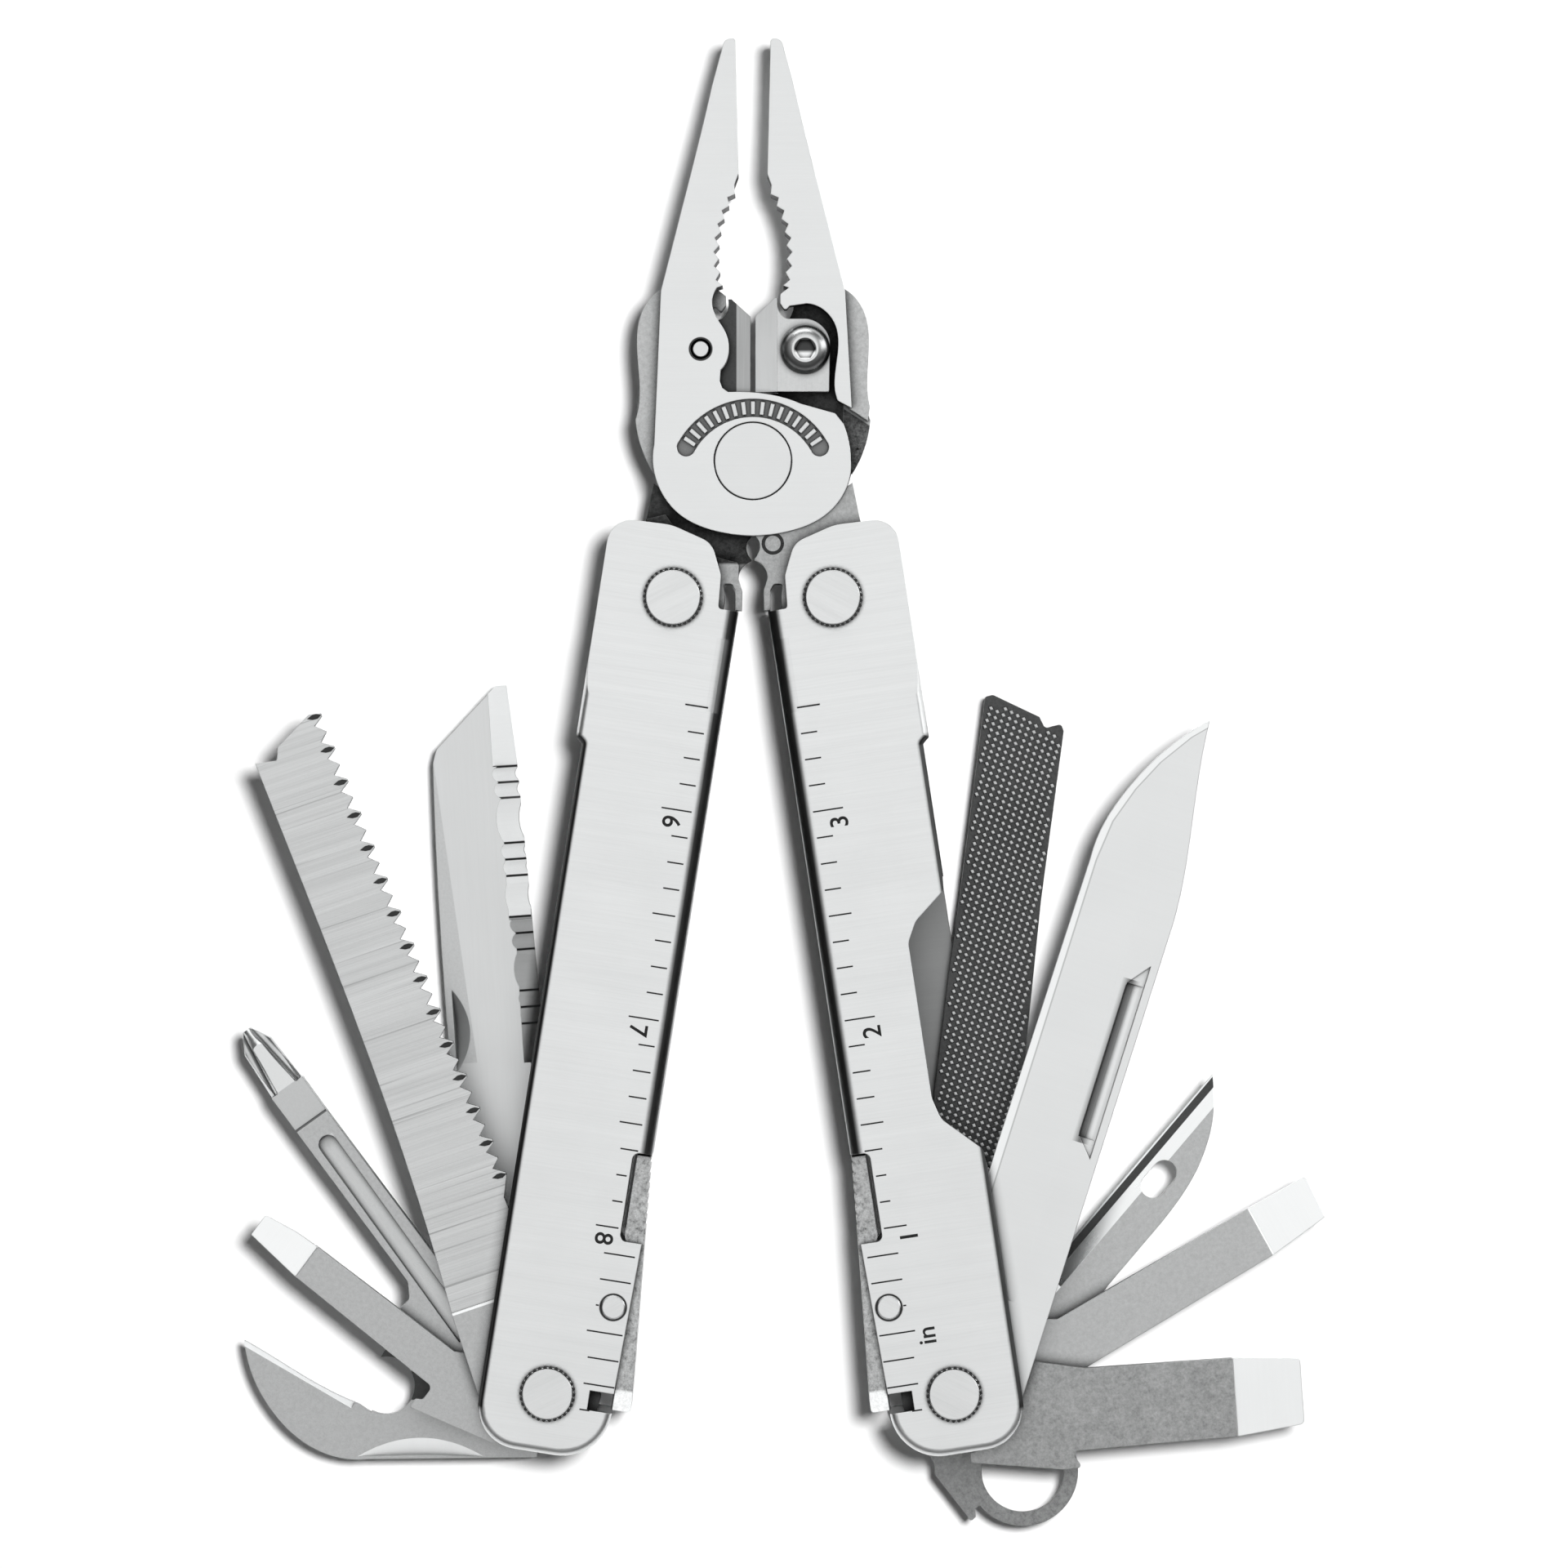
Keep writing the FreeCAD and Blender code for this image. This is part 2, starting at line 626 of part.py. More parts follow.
def make_saw():
    """Wood saw: alternating long and short teeth, hooked notch at the tip."""
    shape = [(1.5, 5.6), (1.5, 8.0, 0.3), (12.6, 7.9), ("curve", [(30, 7.25), (50, 7.5), (83.1, 9.0)]),
             (82.6, 6.4, 0.3), (84.1, 5.8, 0.3), (86.6, 1.0, 0.3)]
    pitch = 4.25
    for number in range(15):
        tooth = 86.1 - number * pitch
        tip = -0.4 - (86.4 - tooth) * 0.056
        shape += [(tooth + 0.2, tip), (tooth - 0.2, tip)]
        if number < 14:
            shape += [(tooth - 1.05, tip + 1.2), (tooth - 2.05, tip + 0.1), (tooth - 2.2, tip + 0.1)]
            shape.append((tooth - 3.15, tip + 1.1))
    shape += [(24.0, -2.6), (20.0, -2.9), (8.0, -4.1), (4.0, -4.6)]
    body = new_tool("saw", "saw", 1.0, shape)
    thin = [(-6.0, 0.9), (12.0, 0.9), (12.0, 0.78), (-6.0, 0.78)]
    wedge_cut(body, "ground_face", "YZ_Plane", thin, 52.8, 80.0)
    finish_tool(body, "saw", 1.0)


SCALLOPS = [(74.75, 1.9), (72.85, 1.9), (69.15, 5.5), (65.4, 2.0), (63.4, 2.0), (59.9, 5.0),
            (56.4, 2.0), (54.4, 2.0), (50.9, 5.0), (47.4, 2.0), (45.4, 2.0), (42.0, 4.8)]


def make_serrated_knife():
    """Sheepsfoot blade, chisel ground on the front with large and small scallops."""
    side = 1.0
    name = "serrated_knife"
    shape = [(1.5, 5.6), (1.5, 8.2, 0.3), (20.0, 9.0), ("curve", [(48.0, 9.6), (60.0, 9.6), (76.6, 9.2)]),
             (78.2, 8.7, 0.8), (85.5, 1.0), (85.5, -0.3), (75.7, -1.0), (39.5, -2.1),
             (20.0, -3.4), (8.0, -4.0), (4.0, -4.6)]
    body = new_tool(name, name, side, shape)
    half = SIZES[name + "_thickness"] / 2.0
    facets = [("straight_edge", 1.95, -0.95, 81.7, 12.0), ("outer_facet", 1.2, -1.45, 66.35, 18.7),
              ("inner_facet", 0.5, -1.95, 48.3, 17.4)]
    for word, top, bottom, centre, length in facets:
        wedge = [(top, half), (bottom, -half + 0.1), (-5.0, -half + 0.1), (-5.0, 4.0), (top, 4.0)]
        cut(body, word, outline(wedge), length, "YZ_Plane", centre)
    facet = VEC(0, -3.0, -2.2).normalize()
    normal = VEC(0, -2.2, 3.0).normalize()
    for number, (middle, width) in enumerate(SCALLOPS):
        depth = 0.03 * width + 0.3
        radius = (width * width / 4.0 + depth * depth) / (2.0 * depth)
        edge = -1.1 - (75.7 - middle) * 0.035
        rise = (75.7 - middle) * 0.012
        ridge = VEC(middle, edge, -half + 0.1 + rise)
        base = ridge + normal * (radius - depth) - facet * 9.0
        tilted_cutter(body, "scallop_%d" % number, radius, 12.0, base, facet)
    nail_nick(body, side, 44.0, 8.4, 9.6, 1.6, 0.7, half)
    finish_tool(body, name, side)


def make_phillips():
    """Cross point driver: thick grooved shank and a fluted point."""
    side = 1.0
    name = "phillips"
    shape = [(1.5, 5.6), (1.5, 7.6, 0.3), (18.5, 8.9, 0.2), (18.8, 7.2, 0.8), (20.6, 6.15, 0.8),
             (48.3, 6.7, 0.2), (48.3, 2.15, 0.2), (42.5, 2.1), (21.0, 1.65), (10.0, -1.0), (5.0, -3.9)]
    body = new_tool("phillips_driver", name, side, shape)
    along = VEC(1, 0, 0)
    axis = VEC(0, 4.45, 0)
    add_cone(body, "tip_shoulder", 2.25, 1.95, axis + along * 48.0, along * 6.3)
    add_cone(body, "tip_point", 1.95, 0.6, axis + along * 54.3, along * 2.4)
    for number, (up, across) in enumerate(((1, 1), (1, -1), (-1, 1), (-1, -1))):
        outward = VEC(0, across, up).normalize()
        start = axis + along * 48.3 + outward * 3.0
        end = axis + along * 57.5 + outward * 1.3
        tilted_cutter(body, "flute_%d" % number, 0.8, 10.0, start, (end - start).normalize())
    half = SIZES[name + "_thickness"] / 2.0
    step = [(43.3, 4.0), (60.0, 4.0), (60.0, half - 0.15), (43.3, half - 0.15)]
    wedge_cut(body, "tip_land", "XZ_Plane", step, 0.0, 60.0)
    groove = [(11.0, 3.0), (39.6, 3.15), ("arc", (40.85, 4.35), (39.6, 5.5)), (11.0, 5.35)]
    for level, word in ((half - 0.4, "front"), (-half + 0.4, "back")):
        cut(body, "groove_" + word, outline(groove), 0.8, level=level)
    finish_tool(body, name, side)


def make_small_driver():
    side = 1.0
    name = "small_driver"
    shape = [(1.5, 5.6), (1.5, 8.9, 0.4), (12.3, 11.4, 0.15), (12.4, 10.2, 0.3), (11.6, 9.7, 0.4),
             (11.6, 7.8, 0.7), (13.5, 7.75), (33.0, 6.95), (40.1, 6.1, 0.1), (40.1, 3.2, 0.3),
             (36.0, 2.6), (32.5, 2.5), (18.0, 2.7), (12.0, 2.8, 0.4), (9.0, 1.2), (5.0, -3.9)]
    body = new_tool(name, name, side, shape)
    half = SIZES[name + "_thickness"] / 2.0
    tip = [(32.7, half), (32.8, half - 0.1), (40.2, 0.38), (45.0, 0.38), (45.0, 4.0), (32.7, 4.0)]
    wedge_cut(body, "ground_tip", "XZ_Plane", tip, 0.0, 60.0)
    finish_tool(body, name, side)


def make_can_opener():
    """Hooked can opener with a round bottle opener throat."""
    side = 1.0
    name = "can_opener"
    shape = [(1.5, 5.6), (1.5, 8.3, 0.2), (22.0, 8.5),
             ("curve", [(26.0, 8.2), (30.0, 6.3), (33.8, 2.4), (35.9, -1.4), (37.0, -5.9)]),
             ("curve", [(32.0, -2.9), (28.0, -0.5), (23.2, 1.75)]), (21.6, 2.8), (20.0, 0.0),
             (21.2, -3.4), (21.6, -3.7), (21.2, -4.9, 0.4), (19.8, -5.5, 0.4), (18.3, -5.6, 0.6),
             (14.0, -4.6), (11.5, -4.1), (5.0, -4.1)]
    body = new_tool(name, name, side, shape)
    cut(body, "throat", [Part.Circle(VEC(19.8, -0.45, 0), UP, 3.5)], 20.0)
    half = SIZES[name + "_thickness"] / 2.0
    nail_nick(body, side, 15.6, 7.9, 14.8, 2.0, 0.7, half)
    start = VEC(24.0, 2.3, half)
    end = VEC(37.4, -5.5, half)
    along = (end - start).normalize()
    across = UP.cross(along)
    steepness = math.radians(31.0)
    outward = UP * math.cos(steepness) - across * math.sin(steepness)
    radius = 40.0
    tilted_cutter(body, "hook_grind", radius, 18.0, start + outward * radius, along)
    finish_tool(body, name, side)


def make_knife():
    """Clip point blade with a long nail slot near the spine."""
    side = -1.0
    name = "knife"
    shape = [(1.5, 5.6), (1.5, 8.0, 0.3), (60.0, 8.1), ("curve", [(66.0, 7.85), (75.0, 6.5), (86.5, 4.95)]),
             ("curve", [(84.0, 2.65), (80.0, 0.0), (76.0, -1.9), (71.5, -3.35), (66.5, -3.75)]),
             (56.0, -3.85), (30.0, -4.05), (12.6, -3.9), (8.0, -3.9), (4.0, -4.6)]
    body = new_tool(name, name, side, shape)
    half = SIZES[name + "_thickness"] / 2.0
    grind = [(side * 3.6, half), (side * -3.9, 0.35), (side * -9.0, 0.35), (side * -9.0, 4.0),
             (side * 3.6, 4.0)]
    wedge_cut(body, "grind", "YZ_Plane", grind, 52.7, 80.0)
    slot = [(31.8, 7.1), (34.3, 4.9, 1.2), (53.4, 4.9, 1.2), (56.2, 7.1)]
    cut(body, "nail_slot", outline(slot, side), 0.25, level=half, symmetric=False)
    hollow = [(side * 4.95, half), (side * 5.05, half - 0.75), (side * 5.7, half - 0.7),
              (side * 6.6, half - 0.45), (side * 7.1, half - 0.2), (side * 7.1, half)]
    cut(body, "slot_hollow", outline(hollow), 19.4, "YZ_Plane", 43.8)
    finish_tool(body, name, side)


def make_awl():
    """Awl with a ground edge and an oval thread hole."""
    side = -1.0
    name = "awl"
    shape = [(1.5, 5.6), (1.5, 7.2, 0.3), (12.0, 6.7), (22.0, 6.1), (32.0, 6.1),
             ("curve", [(36.0, 5.85), (39.0, 5.35), (42.0, 4.4), (45.0, 2.95), (47.5, 1.1), (49.5, -0.8)]),
             (23.0, -0.85), (14.0, -1.4), (5.0, -3.9)]
    body = new_tool(name, name, side, shape)
    half = SIZES[name + "_thickness"] / 2.0
    front = [(side * 1.85, half), (0.0, 0.3), (side * -1.0, 0.1), (side * -4.0, 0.1),
             (side * -4.0, 4.0), (side * 1.85, 4.0)]
    cut(body, "edge_front", outline(front), 40.0, "YZ_Plane", 38.0)
    back = [(side * 1.85, -half), (side * -1.0, -0.1), (side * -4.0, -0.1), (side * -4.0, -4.0),
            (side * 1.85, -4.0)]
    cut(body, "edge_back", outline(back), 40.0, "YZ_Plane", 38.0)
    hole = [(34.6, 0.95), ("arc", (33.05, 2.45), (34.6, 3.95)), (36.6, 3.95),
            ("arc", (38.15, 2.45), (36.6, 0.95))]
    cut(body, "thread_hole", outline(hole, side), 10.0)
    finish_tool(body, name, side)


def make_medium_driver():
    side = -1.0
    name = "medium_driver"
    shape = [(1.5, 5.6), (1.5, 6.6, 0.3), (8.0, 6.2), (16.0, 5.2), (42.0, 4.15), (49.5, 3.2, 0.3),
             (49.8, -2.3, 0.5), (41.5, -2.2), (15.2, -1.6, 0.6), (13.4, -2.6), (5.0, -4.0)]
    body = new_tool(name, name, side, shape)
    half = SIZES[name + "_thickness"] / 2.0
    tip = [(41.8, half), (41.9, half - 0.1), (49.9, 0.36), (55.0, 0.36), (55.0, 4.0), (41.8, 4.0)]
    wedge_cut(body, "ground_tip", "XZ_Plane", tip, 0.0, 60.0)
    finish_tool(body, name, side)


def make_large_driver():
    side = -1.0
    name = "large_driver"
    shape = [(1.5, 5.6), (1.5, 8.6, 0.3), (12.5, 10.2, 0.3), (14.9, 10.1, 0.3), (14.1, 8.9, 0.2),
             (14.2, 8.05, 0.3), (34.0, 7.65), (42.0, 6.75, 0.6), (42.0, -1.15, 0.3), (33.9, -1.8),
             (16.0, -1.8), (10.0, -3.0), (5.0, -4.0)]
    body = new_tool(name, name, side, shape)
    half = SIZES[name + "_thickness"] / 2.0
    tip = [(33.8, half), (33.9, half - 0.1), (42.1, 0.45), (50.0, 0.45), (50.0, 4.0), (33.8, 4.0)]
    wedge_cut(body, "ground_tip", "XZ_Plane", tip, 0.0, 60.0)
    finish_tool(body, name, side)


def make_lanyard_ring():
    side = -1.0
    name = "lanyard_ring"
    shape = [(1.5, 5.6), (1.5, 6.6, 0.3), (6.0, 7.3, 0.4), (7.0, 8.0, 0.3), (14.1, 7.9, 0.3),
             (14.0, 7.1, 0.2), (13.2, 6.6, 0.2), (13.2, 4.0), (10.0, -6.4), (3.0, -5.2)]
    body = new_tool(name, name, side, shape)
    pad(body, "eye", [Part.Circle(VEC(13.0, -side * 0.8, 0), UP, 6.7)], "sizes.lanyard_ring_thickness")
    cut(body, "eye_hole", [Part.Circle(VEC(13.0, -side * 0.8, 0), UP, 5.0)], 20.0)
    finish_tool(body, name, side)


def make_file():
    """Flat file with a small hooked notch at the tip."""
    side = -1.0
    name = "file"
    shape = [(1.5, 5.6), (1.5, 6.4, 0.3), (10.0, 5.6), (43.0, 4.65), (60.0, 4.65), (80.8, 5.3, 0.4),
             (81.6, 4.9, 0.4), (81.3, 4.0, 0.4), (80.9, 3.0, 0.5), (82.2, 2.2, 0.2), (84.3, -3.7, 0.5),
             (84.0, -4.6, 0.4), (60.0, -5.2), (50.0, -5.6), (36.0, -5.85), (21.0, -5.4), (16.0, -4.2),
             (5.0, -4.0)]
    body = new_tool(name, name, side, shape)
    finish_tool(body, name, side)


# ---------------------------------------------------------------- assembly

make_jaw("jaw_front", False)
make_jaw("jaw_rear", True)
make_pivot()
make_insert("cutter_insert_left", False)
make_insert("cutter_insert_right", True)
make_screw("cutter_screw_left", False)
make_screw("cutter_screw_right", True)
for hand, factor in (("left", 1.0), ("right", -1.0)):
    make_handle("handle_" + hand, factor)
    make_rivet(hand + "_hinge_rivet", factor, "hinge", SIZES["neck_width"] / 2.0,
               SIZES["hinge_radius"], SIZES["hinge_head_radius"])
    make_rivet(hand + "_tool_axle", factor, "axle", SIZES["handle_width"] / 2.0,
               SIZES["axle_radius"], SIZES["axle_head_radius"])
    make_rocker(hand + "_lock_rocker", factor)
    make_pin(hand + "_rocker_pin", factor)
    make_spring(hand + "_lock_spring", factor)
    make_spacers(hand + "_spacers", factor)
make_saw()
make_serrated_knife()
make_phillips()
make_small_driver()
make_can_opener()
make_file()
make_knife()
make_awl()
make_medium_driver()
make_large_driver()
make_lanyard_ring()
doc.recompute()
front_face = VEC(0, 0, SIZES["jaw_thickness"] / 2.0)
for item in made:
    item.Placement = FreeCAD.Placement(-front_face, FreeCAD.Rotation()) * item.Placement
doc.recompute()

problems = []
for item in doc.Objects:
    if "Invalid" in item.State or "Error" in item.State:
        problems.append("%s state %s" % (item.Name, item.State))
for item in made:
    if item.Shape.isNull() or not item.Shape.isValid() or not item.Shape.Solids:
        problems.append("%s shape is not a valid solid" % item.Label)
if problems:
    raise RuntimeError("; ".join(problems))

os.makedirs("parts", exist_ok=True)
for item in made:
    item.Shape.exportStep("parts/%s.step" % item.Label)
    print("%-22s solids %d volume %.1f" % (item.Label, len(item.Shape.Solids), item.Shape.Volume))
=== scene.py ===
import json
import math

import bmesh
import bpy
from mathutils import Matrix, Vector


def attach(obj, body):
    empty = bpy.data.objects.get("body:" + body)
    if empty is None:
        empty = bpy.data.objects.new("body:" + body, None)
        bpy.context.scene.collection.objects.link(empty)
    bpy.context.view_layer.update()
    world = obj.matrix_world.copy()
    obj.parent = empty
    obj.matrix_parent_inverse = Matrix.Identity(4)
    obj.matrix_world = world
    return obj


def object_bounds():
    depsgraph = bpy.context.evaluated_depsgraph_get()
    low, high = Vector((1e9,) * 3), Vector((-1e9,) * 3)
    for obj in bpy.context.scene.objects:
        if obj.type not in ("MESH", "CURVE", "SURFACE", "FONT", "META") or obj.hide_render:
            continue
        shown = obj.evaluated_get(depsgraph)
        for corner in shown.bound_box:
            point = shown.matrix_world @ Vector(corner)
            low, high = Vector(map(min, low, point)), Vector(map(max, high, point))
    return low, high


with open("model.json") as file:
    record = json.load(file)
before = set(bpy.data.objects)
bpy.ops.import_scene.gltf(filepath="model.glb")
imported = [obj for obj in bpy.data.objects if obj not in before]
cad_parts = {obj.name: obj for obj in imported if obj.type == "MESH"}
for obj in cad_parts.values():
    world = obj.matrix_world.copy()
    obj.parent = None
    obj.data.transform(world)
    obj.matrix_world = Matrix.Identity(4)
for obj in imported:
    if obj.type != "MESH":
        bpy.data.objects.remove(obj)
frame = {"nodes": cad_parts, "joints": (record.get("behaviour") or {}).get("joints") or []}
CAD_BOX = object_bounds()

# Looks of the folding multi tool. The CAD pieces get brushed, blasted, cast and ground steel;
# small marks that are too fine for the CAD are added as meshes that ride on the same bodies.

MM = 0.001  # one millimetre in metres
scene = bpy.context.scene
nodes = frame["nodes"]
joints = {j["name"]: j for j in frame["joints"]}
HANDS = ("left", "right")


# ------------------------------------------------------------------ local frames
# Every piece gets its own axes, so grain and marks stay on it at every pose.

MATRICES = {}
SPACES = {}


def space(name, matrix, body):
    empty = bpy.data.objects.new("space_" + name, None)
    scene.collection.objects.link(empty)
    empty.matrix_world = matrix
    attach(empty, body)
    MATRICES[name] = matrix
    SPACES[name] = empty


def turned_to(origin, degrees):
    return Matrix.Translation(origin) @ Matrix.Rotation(math.radians(degrees), 4, "Z")


def joint_point(name):
    return Vector(joints[name]["pos_m"])


AXLE = {"left": joint_point("saw_swing"), "right": joint_point("knife_swing")}
HINGE = {"left": joint_point("left_handle_fold"), "right": joint_point("right_handle_fold")}
SIDE = {"left": 1.0, "right": -1.0}
LEAN = {}
for hand in HANDS:
    along = HINGE[hand] - AXLE[hand]
    LEAN[hand] = math.degrees(math.atan2(along.y, along.x))
    space("handle_" + hand, turned_to(AXLE[hand], LEAN[hand]), hand + "_handle")

TOOLS = {
    "left": ["saw", "serrated_knife", "phillips_driver", "small_driver", "can_opener"],
    "right": ["file", "knife", "awl", "medium_driver", "large_driver", "lanyard_ring"],
}
EARLY_STOP = {"lanyard_ring": 15.0}
TOOL_SIDE = {}
for hand, names in TOOLS.items():
    for name in names:
        low, high = joints[name + "_swing"]["range_deg"]
        closed = low if SIDE[hand] > 0 else high
        angle = LEAN[hand] - closed + SIDE[hand] * EARLY_STOP.get(name, 0.0)
        space(name, turned_to(AXLE[hand], angle), name)
        TOOL_SIDE[name] = SIDE[hand]
PIVOT = joint_point("jaw_pivot")
space("jaw_front", Matrix.Translation(PIVOT), "front_jaw")
space("jaw_rear", Matrix.Translation(PIVOT) @ Matrix.Rotation(math.pi, 4, "Y"), "rear_jaw")


# ------------------------------------------------------------------ shader helpers

def add(tree, kind, **values):
    node = tree.nodes.new(kind)
    for key, value in values.items():
        setattr(node, key, value)
    return node


def plug(tree, value, socket):
    if isinstance(value, (int, float, tuple, list)):
        socket.default_value = value
    else:
        tree.links.new(value, socket)


def maths(tree, operation, a, b=None, clamp=False):
    node = add(tree, "ShaderNodeMath", operation=operation, use_clamp=clamp)
    plug(tree, a, node.inputs[0])
    if b is not None:
        plug(tree, b, node.inputs[1])
    return node.outputs[0]


def product(tree, *values):
    result = values[0]
    for value in values[1:]:
        result = maths(tree, "MULTIPLY", result, value)
    return result


def total(tree, *values):
    result = values[0]
    for value in values[1:]:
        result = maths(tree, "ADD", result, value)
    return result


def blend(tree, mask, a, b):
    node = add(tree, "ShaderNodeMix", data_type="FLOAT", clamp_factor=True)
    plug(tree, mask, node.inputs[0])
    plug(tree, a, node.inputs[2])
    plug(tree, b, node.inputs[3])
    return node.outputs[0]


def ramp(tree, value, low, high, out_low=0.0, out_high=1.0):
    node = add(tree, "ShaderNodeMapRange", clamp=True)
    plug(tree, value, node.inputs["Value"])
    for key, number in (("From Min", low), ("From Max", high), ("To Min", out_low), ("To Max", out_high)):
        node.inputs[key].default_value = number
    return node.outputs["Result"]


def noise(tree, vector, detail=3.0, roughness=0.6):
    node = add(tree, "ShaderNodeTexNoise")
    node.inputs["Scale"].default_value = 1.0
    node.inputs["Detail"].default_value = detail
    node.inputs["Roughness"].default_value = roughness
    plug(tree, vector, node.inputs["Vector"])
    return maths(tree, "SUBTRACT", node.outputs["Fac"], 0.5)


class Place:
    """Position on a piece in millimetres along its own axes, and the surface tilt."""

    def __init__(self, tree, empty, side):
        where = add(tree, "ShaderNodeTexCoord", object=empty)
        scaled = add(tree, "ShaderNodeVectorMath", operation="MULTIPLY")
        plug(tree, where.outputs["Object"], scaled.inputs[0])
        scaled.inputs[1].default_value = (1000.0, 1000.0 * side, 1000.0)
        self.tree = tree
        self.vector = scaled.outputs["Vector"]
        split = add(tree, "ShaderNodeSeparateXYZ")
        plug(tree, self.vector, split.inputs[0])
        self.x, self.y, self.z = split.outputs
        geometry = add(tree, "ShaderNodeNewGeometry")
        self.normal = geometry.outputs["Normal"]
        facing = add(tree, "ShaderNodeSeparateXYZ")
        plug(tree, self.normal, facing.inputs[0])
        self.up = maths(tree, "ABSOLUTE", facing.outputs[2])
        self.depth = maths(tree, "ABSOLUTE", self.z)

    def all_of(self, *masks):
        return product(self.tree, *masks)

    def stretched(self, degrees, scale):
        turn = add(self.tree, "ShaderNodeVectorRotate", rotation_type="Z_AXIS")
        plug(self.tree, self.vector, turn.inputs["Vector"])
        turn.inputs["Angle"].default_value = math.radians(-degrees)
        size = add(self.tree, "ShaderNodeVectorMath", operation="MULTIPLY")
        plug(self.tree, turn.outputs["Vector"], size.inputs[0])
        size.inputs[1].default_value = scale
        return size.outputs["Vector"]

    def above(self, value, level, soft=0.06):
        return ramp(self.tree, value, level - soft / 2.0, level + soft / 2.0)

    def below(self, value, level, soft=0.06):
        return ramp(self.tree, value, level - soft / 2.0, level + soft / 2.0, 1.0, 0.0)

    def within(self, value, low, high, soft=0.06):
        return self.all_of(self.above(value, low, soft), self.below(value, high, soft))

    def tilted(self):
        """Ground bevels: neither flat nor a side wall."""
        return self.within(self.up, 0.28, 0.975, 0.02)

    def wall(self):
        return self.below(self.up, 0.3, 0.1)

    def radius(self, x, y):
        """Distance from a point of the piece's flat face."""
        off_x = maths(self.tree, "SUBTRACT", self.x, x)
        off_y = maths(self.tree, "SUBTRACT", self.y, y)
        return maths(self.tree, "SQRT", total(self.tree, product(self.tree, off_x, off_x),
                                              product(self.tree, off_y, off_y)))

    def ring(self, x, y, low, high):
        return self.within(self.radius(x, y), low, high, 0.1)

    def flat(self):
        return self.above(self.up, 0.98, 0.01)


def finish_of(place, tone=0.6, rough=0.36, grain=0.0, angle=90.0, fine=4.0, length=0.10,
              speckle=0.0, grit_size=3.0, cloud=0.03, scratch=0.0, matte=0.0):
    """Shade, roughness, relief and mirror share of one steel finish."""
    tree = place.tree
    lines = noise(tree, place.stretched(angle, (length, fine, 0.4)), 4.0, 0.7)
    wide = noise(tree, place.stretched(angle, (length * 0.35, fine * 0.2, 0.2)), 2.0)
    clouds = noise(tree, place.stretched(0.0, (0.13, 0.13, 0.13)), 3.0)
    grit = noise(tree, place.stretched(0.0, (grit_size, grit_size, grit_size)), 3.0, 0.8)
    shade = total(tree, tone, product(tree, lines, 1.7 * grain), product(tree, wide, 0.8 * grain),
                  product(tree, clouds, 2.0 * cloud), product(tree, grit, 1.8 * speckle))
    if scratch:
        marks = noise(tree, place.stretched(angle, (length * 0.6, fine * 0.55, 0.4)), 1.0)
        deep = ramp(tree, marks, 0.13, 0.26)
        shade = maths(tree, "SUBTRACT", shade, product(tree, deep, scratch))
    roughness = total(tree, rough, product(tree, lines, 1.2 * grain), product(tree, grit, 0.8 * speckle),
                      product(tree, clouds, 0.10))
    relief = total(tree, product(tree, lines, 5.0 * grain), product(tree, grit, 5.0 * speckle + 0.04))
    return shade, roughness, relief, 1.0 - matte


def steel(name, space_name, side=1.0, base=None, zones=(), edge=0.14, edge_width=0.14,
          tint=(0.985, 1.0, 1.0), crevice=1.6, crevice_shade=0.12):
    """Steel with a base finish, other finishes in zones, edges lighter for wear and painted highlight, and
    painted shade in creases.
    """
    material = bpy.data.materials.new(name)
    material.use_nodes = True
    tree = material.node_tree
    tree.nodes.clear()
    out = add(tree, "ShaderNodeOutputMaterial")
    shader = add(tree, "ShaderNodeBsdfPrincipled")
    plug(tree, shader.outputs[0], out.inputs["Surface"])
    place = Place(tree, SPACES[space_name], side)

    shade, rough, relief, mirror = finish_of(place, **(base or {}))
    for mask_of, look in zones:
        mask = mask_of(place)
        other = finish_of(place, **look)
        shade = blend(tree, mask, shade, other[0])
        rough = blend(tree, mask, rough, other[1])
        relief = blend(tree, mask, relief, other[2])
        mirror = blend(tree, mask, mirror, other[3])

    bevel = add(tree, "ShaderNodeBevel", samples=4)
    bevel.inputs["Radius"].default_value = edge_width * MM
    dot = add(tree, "ShaderNodeVectorMath", operation="DOT_PRODUCT")
    plug(tree, bevel.outputs[0], dot.inputs[0])
    plug(tree, place.normal, dot.inputs[1])
    # Lighter edges stand partly for wear and partly for a painted highlight.
    worn_and_highlit = ramp(tree, dot.outputs["Value"], 0.99, 0.80)
    shade = maths(tree, "ADD", shade, product(tree, worn_and_highlit, edge), clamp=True)
    # Painted shade: colour darkened where ambient occlusion finds surfaces close by.
    if crevice:
        closed_in = add(tree, "ShaderNodeAmbientOcclusion", samples=6)
        closed_in.inputs["Distance"].default_value = crevice * MM
        open_sky = ramp(tree, closed_in.outputs["AO"], 0.42, 0.92, crevice_shade, 1.0)
        shade = product(tree, shade, open_sky)
    colour = add(tree, "ShaderNodeVectorMath", operation="SCALE")
    colour.inputs[0].default_value = tint
    plug(tree, shade, colour.inputs["Scale"])
    plug(tree, colour.outputs["Vector"], shader.inputs["Base Color"])
    plug(tree, maths(tree, "MAXIMUM", rough, 0.08), shader.inputs["Roughness"])
    plug(tree, mirror, shader.inputs["Metallic"])
    bump = add(tree, "ShaderNodeBump")
    bump.inputs["Strength"].default_value = 0.4
    bump.inputs["Distance"].default_value = 0.02 * MM
    plug(tree, relief, bump.inputs["Height"])
    plug(tree, bevel.outputs[0], bump.inputs["Normal"])
    plug(tree, bump.outputs[0], shader.inputs["Normal"])
    return material


def dress(node, material):
    mesh = nodes[node].data
    mesh.materials.clear()
    mesh.materials.append(material)


# ------------------------------------------------------------------ finishes
# A zone is a mask over a piece; the zone listed last wins where zones overlap.

